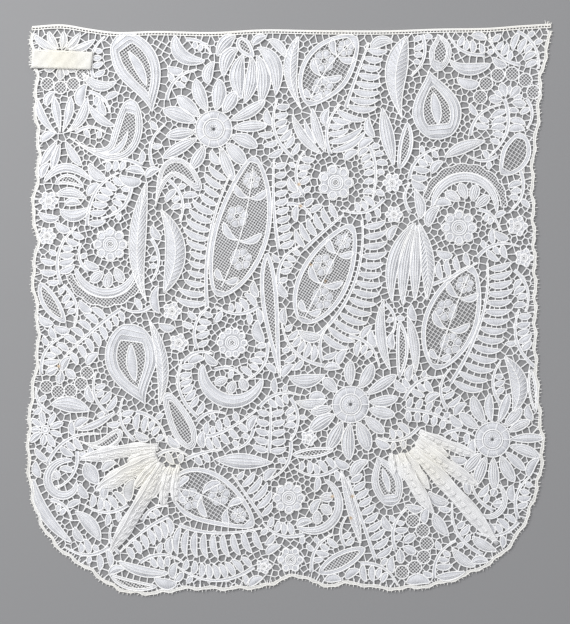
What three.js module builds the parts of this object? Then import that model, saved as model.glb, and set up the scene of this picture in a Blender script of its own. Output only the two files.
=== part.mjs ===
// One end of a lace cravat, laid flat: a lace panel with flower and fern motifs raised on it,
// gaps cut through between them, pleats laid over in its two lower corners, a heading tape
// sewn along its top edge and a short blank cotton tape sewn at its top left.
// Millimetres. X runs across the panel, Y up its length, Z out of the cloth, and the
// underside lies flat at Z = 0.

import * as THREE from "three";

// Driving sizes
const CLOTH = 1.2; // wall of the lace
const SEAM = 0.3; // space between sewn pieces
const HEADING = 2.7; // width of the heading tape
const TOILE_RISE = 0.7; // how far close woven motifs stand above the ground
const NET_RISE = 0.35; // and net-filled ones
const SLOPE = 0.6; // width of the slope round a motif
const BRIDE = 0.8; // least cloth between two motifs, or a motif and a gap
const EDGE = 1.6; // least cloth along the outline
const GAP_SIZES = [5.6, 5.0, 4.5]; // widths of the gaps cut through, the largest tried first
const MOST_GAPS = 132;
const GAP_PITCH = 2.6; // spacing of the places where a gap is tried
const GAP_UNEVEN = 0.14; // how much a gap's corners differ in reach, as a share of it
const OUTLINE_STEP = 6.5; // between points of the outline
const TOP_STEPS = 34; // along the top edge
const CORNER_ROOM = 5.5; // height that the side outlines stop below the heading's highest point
const SCALLOP = 0.9; // depth of the small waves along the sides and hem
const TAPE_THICK = 0.9;

// Shapes of the motifs
const SHRINKS = [1, 0.86, 0.72, 0.58]; // sizes tried until a motif clears its neighbours
const STATION_PITCH = 10; // length of a blade for each station along it
const MOST_STATIONS = 5;
const PLUMP = 0.62; // roundness of net leaves, botehs and crooks
const SLIM = 0.85; // and of leaves, feathers and petals
const LOBE_NOTCH = 0.84; // radius between a rosette's lobes, as a share of its own
const EYE_SIDES = 10;
const PETAL_GAP = 0.45; // least ground between two petals of a flower
const PETAL_SHARE = 0.76; // of a flower's ring that its petals cover
const SHORT_PETAL = 0.86; // length of every second petal, as a share of the others
const FAN_PETAL = 4.4; // width of a petal inside a fan
const FAN_PETAL_ROOT = 3; // how far from the fan's middle it starts
const SCROLL_TURN = 22; // degrees of a scroll for each station along it
const SPIRAL_SWEEP = 200; // a scroll that sweeps further closes in
const SPIRAL_CLOSING = 0.5;
const SCROLL_CLOSING = 0.08;
const SCROLL_PETAL = 5; // width of a petal inside a scroll
const SCROLL_PETAL_LEAN = 18; // degrees that it leans along the scroll
const SCALLOP_LOBE = 3; // radius of a net scallop outside a scroll
const FROND_PITCH = 6; // between fronds of a fern
const FROND_LEAN = 0.25; // how far a frond leans to the tip, as a share of its length
const FROND_TAPER = 0.3; // how much shorter the fronds grow along the stem
const FROND_SLOPE = 2.2; // length of the slope at a frond's tip
const STEM_HALF = 0.9; // half the width of a fern's stem

// Shapes of the pleats
const PLEAT_STATIONS = 7;
const PLEAT_NECK = 0.42; // width at the gather, as a share of the full width
const PLEAT_HEM = 0.35; // and at the hem
const PLEAT_SWELL = 0.4; // share of the run over which a pleat opens
const PLEAT_FADE = [0.72, 1.08]; // where along the run it starts and stops to die away
const FOLD_SETBACK = 0.7; // from the fold's edge to the crest beside it
const GENTLE_SIDE = 0.35; // where the crest's far edge lies, as a share of the half width
const GENTLE_HEIGHT = 0.78; // how high that edge stands, as a share of the crest

// The outline, anticlockwise from the top left corner: x, y
const OUTLINE = [
  [-154, 170], [-155, 158], [-152, 140], [-153, 122], [-151, 100], [-151.5, 80], [-154.5, 59],
  [-151.5, 42], [-154.5, 20], [-152, 0], [-151.5, -25], [-155, -52], [-157, -78], [-156, -103],
  [-150, -127], [-137, -145], [-121, -156], [-103, -168], [-84, -171], [-62, -168], [-34, -168],
  [-12, -166], [-2, -161.5], [11, -161.5], [18, -166], [38, -165], [58, -168], [86, -166],
  [108, -159], [127, -148], [141, -130], [149, -108], [153, -84], [151, -62], [148.5, -25],
  [148.5, 12], [147.5, 50], [147, 88], [150, 112], [152, 140], [156, 158], [157, 171],
];

// Height of the top edge: x, y
const TOP_EDGE = [
  [-154, 170], [-136, 171], [-120, 168.5], [-104, 166.5], [-80, 167], [-45, 166.5], [-15, 168],
  [20, 167.5], [60, 167.5], [90, 168.5], [120, 169], [140, 170.5], [157, 171.5],
];

// Leaves and other blades: kind, root x, y, middle x, y, tip x, y, width, where it is fullest
const LEAVES = [
  // large net leaves and botehs
  ["net", -43, 8, -29, 48, -21, 92, 27, 0.45],
  ["net", 8, -8, 23, 20, 38, 51, 27, 0.45],
  ["net", 88, -36, 98, -8, 110, 24, 29, 0.5],
  ["net", -71, -107, -48, -113, -21, -129, 27, 0.42],
  ["net", 13, 124, 22, 143, 39, 161, 25, 0.55],
  ["net", -5, -42, -11, 0, -13, 34, 10, 0.62],
  ["boteh", -82, 118, -89, 143, -104, 163, 24, 0.62],
  ["boteh", -133, 104, -104, 95, -95, 126, 17, 0.74],
  ["boteh", 84, 143, 88, 122, 91, 102, 29, 0.62],
  ["boteh", -90, -51, -93, -32, -95, -13, 26, 0.62],
  ["boteh", -140, -67, -112, -81, -93, -55, 15, 0.72],
  ["boteh", -58, -84, -65, -68, -74, -50, 14, 0.42],
  ["boteh", 53, -88, 58, -101, 62, -118, 18, 0.6],
  ["boteh", 89, 165, 91, 156, 88, 143, 13, 0.6],
  ["boteh", -80, 61, -70, 85, -53, 71, 11, 0.62],
  ["net", 127, 81, 136, 93, 138, 106, 17, 0.5],
  ["net", -149, 16, -143, 4, -134, -8, 10, 0.5],
  ["net", 18, -158, 31, -151, 46, -143, 11, 0.5],
  ["net", 66, -41, 68, -23, 66, -7, 6, 0.5],
  ["net", 71, 111, 69, 98, 66, 84, 6, 0.5],
  ["net", -107, -159, -95, -165, -79, -166, 6, 0.5],
  ["net", 148, -62, 146, -48, 145, -36, 5, 0.5],
  ["net", -29, 163, -27, 158, -21, 151, 8, 0.5],
  // long feathers
  ["feather", -77, 117, -77, 141, -76, 163, 8, 0.6],
  ["feather", 8, 119, 1, 142, 6, 164, 8, 0.6],
  ["feather", 68, 114, 64, 140, 71, 164, 13, 0.6],
  ["feather", -85, 4, -91, 35, -85, 77, 10, 0.6],
  ["feather", -75, 10, -68, 36, -77, 60, 12, 0.45],
  ["feather", 64, -3, 66, 22, 72, 46, 18, 0.5],
  ["feather", 82, 10, 81, 36, 76, 61, 7, 0.5],
  ["feather", -78, -58, -76, -32, -84, -6, 7, 0.5],
  ["feather", 134, -62, 138, -45, 129, -28, 10, 0.5],
  ["feather", 43, -141, 38, -120, 31, -96, 6, 0.5],
  ["leaf", 61, -37, 55, -15, 57, 6, 6, 0.5],
  ["leaf", 76, -38, 75, -20, 71, -4, 6, 0.5],
  ["leaf", 144, -22, 146, 0, 145, 22, 7, 0.5],
  // drooping bud at the top, left of the middle
  ["leaf", -34, 163, -38, 156, -42, 147, 7, 0.6],
  ["leaf", -31, 156, -34, 146, -36, 134, 7, 0.6],
  ["leaf", -26, 150, -27, 140, -28, 128, 7, 0.6],
  ["leaf", -20, 148, -19, 138, -19, 127, 7, 0.6],
  ["leaf", -17, 154, -12, 145, -9, 133, 7, 0.6],
  ["leaf", -20, 163, -11, 159, -4, 150, 7, 0.6],
  // sheaf below the top net leaf
  ["leaf", 14, 121, 14, 108, 19, 96, 5, 0.5],
  ["leaf", 20, 121, 20, 108, 22, 95, 5, 0.5],
  ["leaf", 27, 119, 25, 107, 24, 95, 5, 0.5],
  // cup under the top left fan
  ["leaf", -138, 105, -147, 114, -151, 128, 5, 0.6],
  ["leaf", -137, 106, -139, 117, -141, 128, 5, 0.6],
  ["leaf", -136, 106, -132, 117, -131, 128, 5, 0.6],
  ["leaf", -134, 106, -125, 114, -121, 127, 6, 0.6],
  ["leaf", -139, 101, -144, 93, -149, 86, 5, 0.5],
  ["leaf", -137, 100, -140, 91, -142, 82, 5, 0.5],
  ["leaf", -134, 101, -129, 92, -124, 86, 5, 0.5],
  // crooks and single leaves
  ["horn", -68, 164, -64, 152, -50, 149, 8, 0.45],
  ["horn", 96, 150, 106, 144, 121, 147, 7, 0.6],
  ["leaf", 106, 163, 114, 164, 122, 159, 8, 0.5],
  ["leaf", -124, 142, -114, 134, -103, 137, 6, 0.5],
  ["leaf", -120, 123, -113, 114, -104, 110, 5, 0.5],
  ["leaf", 62, 127, 66, 118, 69, 112, 7, 0.5],
  ["leaf", 56, 127, 58, 110, 62, 92, 5, 0.5],
  ["leaf", 93, 91, 104, 97, 118, 101, 7, 0.5],
  ["horn", -147, 76, -134, 85, -118, 77, 5, 0.5],
  ["net", -140, 75, -132, 78, -123, 73, 6, 0.5],
  ["leaf", -140, 68, -131, 70, -121, 66, 6, 0.5],
  ["horn", -137, 60, -129, 56, -119, 61, 7, 0.5],
  ["leaf", -98, 83, -92, 84, -86, 81, 5, 0.5],
  ["leaf", -143, -57, -131, -57, -119, -61, 9, 0.5],
  ["leaf", -128, -72, -116, -69, -104, -61, 4, 0.5],
  ["leaf", 0, -40, 10, -43, 22, -39, 8, 0.5],
  ["leaf", 4, -55, 13, -57, 23, -54, 6, 0.5],
  ["leaf", -44, -90, -28, -91, -10, -92, 9, 0.5],
  ["net", 2, -87, 14, -86, 27, -84, 6, 0.5],
  ["leaf", -122, -92, -119, -98, -114, -105, 9, 0.5],
  ["horn", -151, -101, -145, -122, -128, -139, 5, 0.5],
  ["leaf", -128, -121, -119, -129, -113, -139, 8, 0.5],
  ["horn", -102, -151, -88, -157, -72, -158, 6, 0.5],
  ["horn", 140, -93, 139, -118, 121, -141, 6, 0.5],
  ["leaf", 110, -136, 116, -141, 125, -145, 6, 0.5],
  ["leaf", 98, -143, 104, -150, 112, -154, 6, 0.5],
  ["leaf", 88, -160, 96, -160, 106, -157, 5, 0.5],
  ["leaf", 87, -122, 90, -129, 96, -136, 7, 0.5],
];

// Flowers of long petals round an eye: x, y, eye radius, petals, reach, turn in degrees
const RADIANTS = [
  [-45, 108, 7.5, 14, 33, 6],
  [37, -57, 9.5, 14, 33, 10],
  [120, -76, 8.5, 16, 30, 4],
  [-146, -72, 2.5, 9, 12, 20],
];

// Rosettes of round lobes: x, y, radius, lobes
const ROSETTES = [
  [-107, 39, 10.5, 8], [102, 49, 11, 8], [28, 76, 11, 7], [-34, -20, 10, 10], [0, -113, 10, 8],
  [63, 57, 5.5, 6], [62, 76, 6, 6], [137, 50, 6.5, 5], [141, 31, 6, 5], [-144, 65, 6, 6],
  [-145, 44, 6.5, 6], [-70, -1, 6, 5], [-66, -20, 6, 5], [12, -77, 5.5, 5], [1, -150, 8, 6],
  [-15, -154, 5, 5], [-103, -130, 8, 8], [-38, 143, 4, 5], [91, -136, 5, 5], [103, -151, 4, 5],
];

// Half-round fans edged with net lobes: x, y, lobe ring radius, lobe radius, from, to, lobes
const FANS = [
  [-137, 148, 15, 3.9, 208, 332, 5],
  [131, 125, 16.5, 4.2, -12, 172, 7],
  [-136, -34, 15.5, 4, 205, 345, 6],
  [66, -141, 16.5, 4.2, -84, 60, 6],
];

// C scrolls: x, y, radius, from, sweep in degrees, band width, petals inside, net scallops outside
const SCROLLS = [
  [-109, 28, 19, 190, 158, 5, 3, 7],
  [106, 60, 20, 176, -182, 5, 4, 8],
  [-33, -37, 19, 168, 178, 6, 3, 0],
  [14, -116, 17, 238, 185, 5, 3, 5],
  [-134, -103, 13, 70, 290, 5, 3, 0],
  [118, -115, 14, 110, -290, 5, 4, 0],
];

// Fern sprays: stem root x, y, middle x, y, tip x, y, frond length left and right of it
const FERNS = [
  [-54, 6, -49, 42, -40, 73, 16, 0],
  [-6, 36, -9, 62, -9, 90, 0, 9],
  [22, -12, 43, 18, 42, 53, 0, 17],
  [102, -42, 117, -6, 121, 26, 0, 18],
  [46, 128, 42, 144, 46, 160, 0, 15],
  [31, 92, 32, 108, 40, 122, 0, 15],
  [-66, -129, -44, -134, -16, -131, 0, 17],
  [-16, -125, -25, -112, -34, -99, 0, 16],
  [9, 36, 20, 46, 33, 57, 13, 0],
  [86, 15, 98, 20, 113, 28, 12, 0],
  [-101, 0, -117, -12, -135, -29, 11, 11],
  [-121, 50, -116, 70, -102, 82, 0, 10],
  [-12, -86, -11, -73, -11, -58, 9, 9],
  [-50, -76, -37, -72, -19, -60, 8, 9],
  [52, -150, 43, -124, 35, -100, 0, 12],
  [-72, -124, -86, -132, -101, -145, 12, 0],
  [-62, -90, -52, -86, -40, -84, 6, 7],
  [92, -43, 98, -52, 99, -64, 9, 9],
  [-88, 86, -100, 90, -112, 88, 8, 8],
  [48, 98, 52, 84, 50, 66, 8, 8],
  [70, -60, 84, -62, 97, -68, 7, 7],
];

// Pleats, from the gather down to the hem: x, y, middle x, y, hem x, y, width, height,
// and the side that the fold is laid to, 1 for left of its run and -1 for right
const PLEATS = [
  [-79, -83, -98, -85, -122, -91, 8, 2.6, -1],
  [-80, -89, -95, -99, -113, -115, 9, 2.8, -1],
  [-77, -93, -89, -117, -107, -146, 9, 3.4, -1],
  [-71, -96, -74.5, -109, -76, -124, 5, 2.6, -1],
  [-65.5, -94, -67.5, -111, -68, -134, 4.5, 2.2, -1],
  [65, -86, 67, -98, 72, -113, 5, 2.6, 1],
  [69.5, -84, 76, -101, 86, -119, 6.5, 2.8, 1],
  [75, -82, 93, -109, 120, -144, 9, 3.4, 1],
  [80, -78, 97.6, -91.6, 114, -106, 7.5, 2.8, 1],
  [84, -73, 98, -79.5, 112, -86, 6, 2.2, 1],
];

// The cotton tape at the top left: corners anticlockwise, x, y
const TAPE_CORNERS = [
  [-156, 147], [-154.4, 144.6], [-118.5, 143.6], [-117.2, 154.2], [-136, 154.6], [-153.6, 156],
  [-155.6, 152.4], [-154.6, 149.6],
];

const lace = new THREE.MeshStandardMaterial({ color: 0xe9e8ea, roughness: 0.85, metalness: 0 });
const headingCotton = new THREE.MeshStandardMaterial({ color: 0xece8dd, roughness: 0.8, metalness: 0 });
const tapeCotton = new THREE.MeshStandardMaterial({ color: 0xf4f0e2, roughness: 0.9, metalness: 0 });

// Plane geometry

const point = (x, y) => new THREE.Vector2(x, y);

// The same uneven number from 0 to 1 for the same whole number each time.
function uneven(seed) {
  const wave = Math.sin(seed * 12.9898 + 4.1414) * 43758.5453;
  return wave - Math.floor(wave);
}

// A curve from root to tip that passes the middle point halfway.
function spine(x0, y0, xm, ym, x1, y1) {
  const bend = point(2 * xm - (x0 + x1) / 2, 2 * ym - (y0 + y1) / 2);
  return new THREE.QuadraticBezierCurve(point(x0, y0), bend, point(x1, y1));
}

function onCircle(x, y, radius, degrees) {
  const angle = THREE.MathUtils.degToRad(degrees);
  return point(x + radius * Math.cos(angle), y + radius * Math.sin(angle));
}

// A straight run outwards from near a middle.
function radial(x, y, degrees, from, to) {
  return new THREE.LineCurve(onCircle(x, y, from, degrees), onCircle(x, y, to, degrees));
}

// An arc in degrees that draws in by a share of its radius.
function arc(x, y, radius, from, sweep, closing) {
  const curve = new THREE.Curve();
  curve.getPoint = (t) => onCircle(x, y, radius * (1 - closing * t), from + sweep * t);
  return curve;
}

function normalAt(curve, t) {
  const before = curve.getPoint(Math.max(t - 0.01, 0));
  const after = curve.getPoint(Math.min(t + 0.01, 1));
  const run = after.sub(before).normalize();
  return point(-run.y, run.x);
}

// Half the width along a blade that is fullest at one place and pointed at both ends.
function bladeHalf(width, fullest, roundness) {
  const power = Math.log(0.5) / Math.log(fullest);
  return (t) => (width / 2) * Math.pow(Math.sin(Math.PI * Math.pow(t, power)), roundness);
}

// A closed ring round a curve, from its root along its left side to its tip and back.
function bladeRing(curve, stations, half, pull) {
  const left = [];
  const right = [];
  const length = curve.getLength();
  for (let i = 1; i < stations; i += 1) {
    const t = i / stations;
    const at = curve.getPoint(t);
    const out = normalAt(curve, t);
    const reach = Math.max(half(t) - pull, 0.3 * half(t));
    left.push(at.clone().addScaledVector(out, reach));
    right.push(at.clone().addScaledVector(out, -reach));
  }
  const tuck = Math.min(1.6 * pull, 0.12 * length) / length;
  return [curve.getPoint(tuck), ...left, curve.getPoint(1 - tuck), ...right.reverse()];
}

function segmentsCross(a, b, c, d) {
  const side = (p, q, r) => (q.x - p.x) * (r.y - p.y) - (q.y - p.y) * (r.x - p.x);
  return side(a, b, c) * side(a, b, d) < 0 && side(c, d, a) * side(c, d, b) < 0;
}

function distanceToSegment(p, a, b) {
  const dx = b.x - a.x;
  const dy = b.y - a.y;
  const along = ((p.x - a.x) * dx + (p.y - a.y) * dy) / (dx * dx + dy * dy);
  const t = Math.min(Math.max(along, 0), 1);
  return Math.hypot(p.x - a.x - t * dx, p.y - a.y - t * dy);
}

function inside(p, ring) {
  let within = false;
  for (let i = 0, j = ring.length - 1; i < ring.length; j = i, i += 1) {
    const a = ring[i];
    const b = ring[j];
    if (a.y > p.y !== b.y > p.y && p.x < ((b.x - a.x) * (p.y - a.y)) / (b.y - a.y) + a.x) {
      within = !within;
    }
  }
  return within;
}

function boxOf(ring) {
  return new THREE.Box2().setFromPoints(ring);
}

// Whether two rings stay at least a gap apart along their edges.
function edgesApart(first, second, gap) {
  for (let i = 0; i < first.length; i += 1) {
    const a = first[i];
    const b = first[(i + 1) % first.length];
    for (let j = 0; j < second.length; j += 1) {
      const c = second[j];
      const d = second[(j + 1) % second.length];
      if (distanceToSegment(a, c, d) < gap || distanceToSegment(c, a, b) < gap) return false;
      if (segmentsCross(a, b, c, d)) return false;
    }
  }
  return true;
}

// The plan of the panel: what is already laid out on it
class Plan {
  constructor(outline) {
    this.outline = outline;
    this.taken = [];
  }

  isClear(ring, gap) {
    if (!ring.every((p) => inside(p, this.outline))) return false;
    if (!edgesApart(ring, this.outline, EDGE)) return false;
    const reach = boxOf(ring).expandByScalar(gap);
    return this.taken.every(({ box, ring: other }) => {
      if (!box.intersectsBox(reach)) return true;
      return !inside(ring[0], other) && !inside(other[0], ring) && edgesApart(ring, other, gap);
    });
  }

  take(ring) {
    this.taken.push({ ring, box: boxOf(ring) });
  }
}

// Raised forms: a foot ring on the ground, a crest ring above it, and the cap inside that

class Relief {
  constructor(foot, crest, heights, capped) {
    this.foot = foot;
    this.crest = crest;
    this.heights = heights;
    this.capped = capped;
  }
}

// A blade that is shortened and narrowed until it stops a bride short of its neighbours.
function layBlade(plan, reliefs, curve, half, rise, stations, gap = BRIDE) {
  for (const scale of SHRINKS) {
    const end = (1 - scale) / 2;
    const part = new THREE.Curve();
    part.getPoint = (t) => curve.getPoint(end + scale * t);
    const narrowed = (t) => half(t) * scale;
    const foot = bladeRing(part, stations, narrowed, 0);
    if (plan.isClear(foot, gap)) {
      const crest = bladeRing(part, stations, narrowed, SLOPE);
      plan.take(foot);
      reliefs.push(new Relief(foot, crest, crest.map(() => CLOTH + rise), "strips"));
      return;
    }
  }
}

function layDisc(plan, reliefs, x, y, radius, sides, rise, notch = 1) {
  for (const scale of SHRINKS) {
    const ring = (pull) =>
      Array.from({ length: sides }, (_, i) => {
        const r = radius * scale * (i % 2 === 1 ? notch : 1) - pull;
        return onCircle(x, y, r, (360 * (i + 0.5)) / sides);
      });
    const foot = ring(0);
    if (plan.isClear(foot, BRIDE)) {
      const crest = ring(SLOPE);
      plan.take(foot);
      reliefs.push(new Relief(foot, crest, crest.map(() => CLOTH + rise), "fan"));
      return;
    }
  }
}

function layLeaves(plan, reliefs) {
  for (const [kind, x0, y0, xm, ym, x1, y1, width, fullest] of LEAVES) {
    const curve = spine(x0, y0, xm, ym, x1, y1);
    const roundness = kind === "leaf" || kind === "feather" ? SLIM : PLUMP;
    const wanted = Math.round(curve.getLength() / STATION_PITCH);
    const stations = THREE.MathUtils.clamp(wanted, 3, MOST_STATIONS);
    const rise = kind === "net" ? NET_RISE : TOILE_RISE;
    layBlade(plan, reliefs, curve, bladeHalf(width, fullest, roundness), rise, stations);
  }
}

// A petal keeps its root, and is shortened until it clears its neighbours.
function layPetal(plan, reliefs, curve, half) {
  for (const share of SHRINKS) {
    const short = new THREE.Curve();
    short.getPoint = (t) => curve.getPoint(share * t);
    const foot = bladeRing(short, 3, half, 0);
    if (plan.isClear(foot, PETAL_GAP)) {
      const crest = bladeRing(short, 3, half, SLOPE);
      plan.take(foot);
      reliefs.push(new Relief(foot, crest, crest.map(() => CLOTH + TOILE_RISE), "strips"));
      return;
    }
  }
}

function layRadiants(plan, reliefs) {
  for (const [x, y, eye, petals, reach, turn] of RADIANTS) {
    layDisc(plan, reliefs, x, y, eye, EYE_SIDES, TOILE_RISE);
    for (let i = 0; i < petals; i += 1) {
      const angle = turn + (360 * i) / petals;
      const from = eye + BRIDE + PETAL_GAP;
      const to = reach * (i % 2 === 0 ? 1 : SHORT_PETAL);
      const curve = radial(x, y, angle, from, to);
      const width = (PETAL_SHARE * Math.PI * (from + to)) / petals;
      layPetal(plan, reliefs, curve, bladeHalf(width, 0.6, SLIM));
    }
  }
}

function layRosettes(plan, reliefs) {
  for (const [x, y, radius, lobes] of ROSETTES) {
    layDisc(plan, reliefs, x, y, radius, 2 * lobes, TOILE_RISE, LOBE_NOTCH);
  }
}

function layFans(plan, reliefs) {
  for (const [x, y, ringRadius, lobeRadius, from, to, lobes] of FANS) {
    for (let i = 0; i < lobes; i += 1) {
      const angle = from + ((to - from) * i) / (lobes - 1);
      const lobe = onCircle(x, y, ringRadius, angle);
      layDisc(plan, reliefs, lobe.x, lobe.y, lobeRadius, 6, NET_RISE);
      const petal = radial(x, y, angle, FAN_PETAL_ROOT, ringRadius - lobeRadius - BRIDE);
      layBlade(plan, reliefs, petal, bladeHalf(FAN_PETAL, 0.6, SLIM), TOILE_RISE, 3, PETAL_GAP);
    }
  }
}

function layScrolls(plan, reliefs) {
  for (const [x, y, radius, from, sweep, band, petals, scallops] of SCROLLS) {
    const closing = Math.abs(sweep) > SPIRAL_SWEEP ? SPIRAL_CLOSING : SCROLL_CLOSING;
    const curve = arc(x, y, radius, from, sweep, closing);
    const stations = Math.round(Math.abs(sweep) / SCROLL_TURN);
    layBlade(plan, reliefs, curve, bladeHalf(band, 0.45, PLUMP), TOILE_RISE, stations);
    for (let i = 0; i < petals; i += 1) {
      const angle = from + (sweep * (i + 1)) / (petals + 1);
      const outer = onCircle(x, y, radius - band / 2 - 2 * BRIDE, angle);
      const inner = onCircle(x, y, 0.3 * radius, angle + SCROLL_PETAL_LEAN * Math.sign(sweep));
      const middle = outer.clone().lerp(inner, 0.5);
      const petal = spine(outer.x, outer.y, middle.x, middle.y, inner.x, inner.y);
      layBlade(plan, reliefs, petal, bladeHalf(SCROLL_PETAL, 0.4, SLIM), TOILE_RISE, 3);
    }
    for (let i = 0; i < scallops; i += 1) {
      const angle = from + (sweep * (i + 0.5)) / scallops;
      const at = onCircle(x, y, radius + band / 2 + SCALLOP_LOBE + BRIDE, angle);
      layDisc(plan, reliefs, at.x, at.y, SCALLOP_LOBE, 5, NET_RISE);
    }
  }
}

// One side of a fern, from root to tip: a notch on the stem, then a frond, again and again.
// Each frond grows until it stops a bride short of its neighbours.
function fernSide(plan, stem, side, reach, fronds) {
  const foot = [];
  const crest = [];
  const place = (t, out, along) =>
    stem
      .getPoint(t)
      .addScaledVector(normalAt(stem, t), side * out)
      .addScaledVector(stem.getTangent(t), along);
  for (let i = 0; i < fronds; i += 1) {
    const t = i / fronds;
    const next = (i + 1) / fronds;
    if (i > 0) {
      foot.push(place(t, STEM_HALF, 0));
      crest.push(place(t, 0.5 * STEM_HALF, 0));
    }
    if (reach === 0) continue;
    for (const share of SHRINKS) {
      const size = share * reach * (1 - FROND_TAPER * t);
      const tip = (length) => place((t + next) / 2, length, FROND_LEAN * length);
      const frond = [place(t, STEM_HALF, 0), tip(size), place(next, STEM_HALF, 0)];
      if (!plan.isClear(frond, BRIDE)) continue;
      foot.push(tip(size));
      crest.push(tip(size - FROND_SLOPE));
      break;
    }
  }
  return { foot, crest };
}

function layFerns(plan, reliefs) {
  for (const [x0, y0, xm, ym, x1, y1, left, right] of FERNS) {
    const stem = spine(x0, y0, xm, ym, x1, y1);
    const fronds = Math.max(Math.round(stem.getLength() / FROND_PITCH), 3);
    const stalk = bladeRing(stem, fronds, () => STEM_HALF, 0);
    if (!plan.isClear(stalk, PETAL_GAP)) continue;
    const leftSide = fernSide(plan, stem, 1, left, fronds);
    const rightSide = fernSide(plan, stem, -1, right, fronds);
    const ring = (part, tuck) => [
      stem.getPoint(tuck),
      ...leftSide[part],
      stem.getPoint(1 - tuck),
      ...rightSide[part].reverse(),
    ];
    const foot = ring("foot", 0);
    const crest = ring("crest", 0.02);
    plan.take(foot);
    reliefs.push(new Relief(foot, crest, crest.map(() => CLOTH + TOILE_RISE), "sheet"));
  }
}

// A pleat is narrow at its gather, and its crest stands nearer the side that it is laid to.
function layPleats(plan, reliefs) {
  for (const [x0, y0, xm, ym, x1, y1, width, height, side] of PLEATS) {
    const curve = spine(x0, y0, xm, ym, x1, y1);
    const opened = (t, least) => least + (1 - least) * THREE.MathUtils.smoothstep(t, 0, PLEAT_SWELL);
    const alive = (t, least) => 1 - (1 - least) * THREE.MathUtils.smoothstep(t, ...PLEAT_FADE);
    const half = (t) => (width / 2) * opened(t, PLEAT_NECK) * alive(t, PLEAT_HEM);
    const rise = (t) => height * opened(t, PLEAT_NECK) * alive(t, PLEAT_HEM);
    const foot = bladeRing(curve, PLEAT_STATIONS, half, 0);
    if (!plan.isClear(foot, SEAM)) throw new Error(`pleat at ${x0}, ${y0} meets its neighbour`);
    plan.take(foot);
    const crest = [];
    const heights = [];
    const add = (t, across, stand) => {
      crest.push(curve.getPoint(t).addScaledVector(normalAt(curve, t), across));
      heights.push(CLOTH + stand);
    };
    const addEdge = (i, left) => {
      const t = i / PLEAT_STATIONS;
      if (left === side > 0) add(t, side * (half(t) - FOLD_SETBACK), rise(t));
      else add(t, -side * GENTLE_SIDE * half(t), GENTLE_HEIGHT * rise(t));
    };
    add(0.03, 0, rise(0));
    for (let i = 1; i < PLEAT_STATIONS; i += 1) addEdge(i, true);
    add(0.96, 0, rise(1));
    for (let i = PLEAT_STATIONS - 1; i > 0; i -= 1) addEdge(i, false);
    reliefs.push(new Relief(foot, crest, heights, "strips"));
  }
}

// Gaps between the brides of the ground, cut through where the plan has room for them
function layGaps(plan, box) {
  const places = [];
  for (let y = box.min.y; y < box.max.y; y += GAP_PITCH) {
    for (let x = box.min.x; x < box.max.x; x += GAP_PITCH) {
      const seed = places.length;
      const shift = point(uneven(seed + 7), uneven(seed + 13)).multiplyScalar(GAP_PITCH);
      places.push({ seed, at: point(x, y).add(shift) });
    }
  }
  places.sort((a, b) => uneven(a.seed) - uneven(b.seed));
  const gaps = [];
  for (const size of GAP_SIZES) {
    for (const { seed, at } of places) {
      if (gaps.length >= MOST_GAPS) return gaps;
      const sides = 4 + (seed % 2);
      const ring = Array.from({ length: sides }, (_, i) => {
        const r = (size / 2) * (1 + GAP_UNEVEN * (uneven(seed * 7 + i) - 0.5));
        return onCircle(at.x, at.y, r, 360 * (uneven(seed) + i / sides));
      });
      if (!plan.isClear(ring, BRIDE)) continue;
      plan.take(ring);
      gaps.push(ring);
    }
  }
  return gaps;
}

// Solid making

// A closed triangle mesh that shares its corners.
class Shell {
  constructor() {
    this.places = [];
    this.faces = [];
    this.known = new Map();
  }

  corner(p, z) {
    const key = `${p.x.toFixed(4)},${p.y.toFixed(4)},${z.toFixed(4)}`;
    if (!this.known.has(key)) {
      this.known.set(key, this.places.length / 3);
      this.places.push(p.x, p.y, z);
    }
    return this.known.get(key);
  }

  face(a, b, c) {
    if (a !== b && b !== c && c !== a) this.faces.push(a, b, c);
  }

  // A flat face inside a ring, with holes; up says which way it looks.
  sheet(ring, holes, z, up) {
    const corners = [ring, ...holes].flat();
    for (const [a, b, c] of THREE.ShapeUtils.triangulateShape(ring, holes)) {
      const turn = cross(corners[a], corners[b], corners[c]) > 0;
      const [u, v, w] = [a, b, c].map((i) => this.corner(corners[i], z));
      if (turn === up) this.face(u, v, w);
      else this.face(u, w, v);
    }
  }

  // A wall between two rings of the same number of corners, looking away from an anticlockwise one.
  wall(low, lowHeights, high, highHeights) {
    for (let i = 0; i < low.length; i += 1) {
      const j = (i + 1) % low.length;
      const a = this.corner(low[i], lowHeights[i]);
      const b = this.corner(low[j], lowHeights[j]);
      const c = this.corner(high[j], highHeights[j]);
      const d = this.corner(high[i], highHeights[i]);
      this.face(a, b, c);
      this.face(a, c, d);
    }
  }

  geometry() {
    const geometry = new THREE.BufferGeometry();
    geometry.setAttribute("position", new THREE.Float32BufferAttribute(this.places, 3));
    geometry.setIndex(this.faces);
    geometry.computeVertexNormals();
    return geometry;
  }
}

function cross(a, b, c) {
  return (b.x - a.x) * (c.y - a.y) - (b.y - a.y) * (c.x - a.x);
}

const level = (ring, z) => ring.map(() => z);

function anticlockwise(ring) {
  return THREE.ShapeUtils.area(ring) > 0 ? ring : [...ring].reverse();
}

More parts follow.
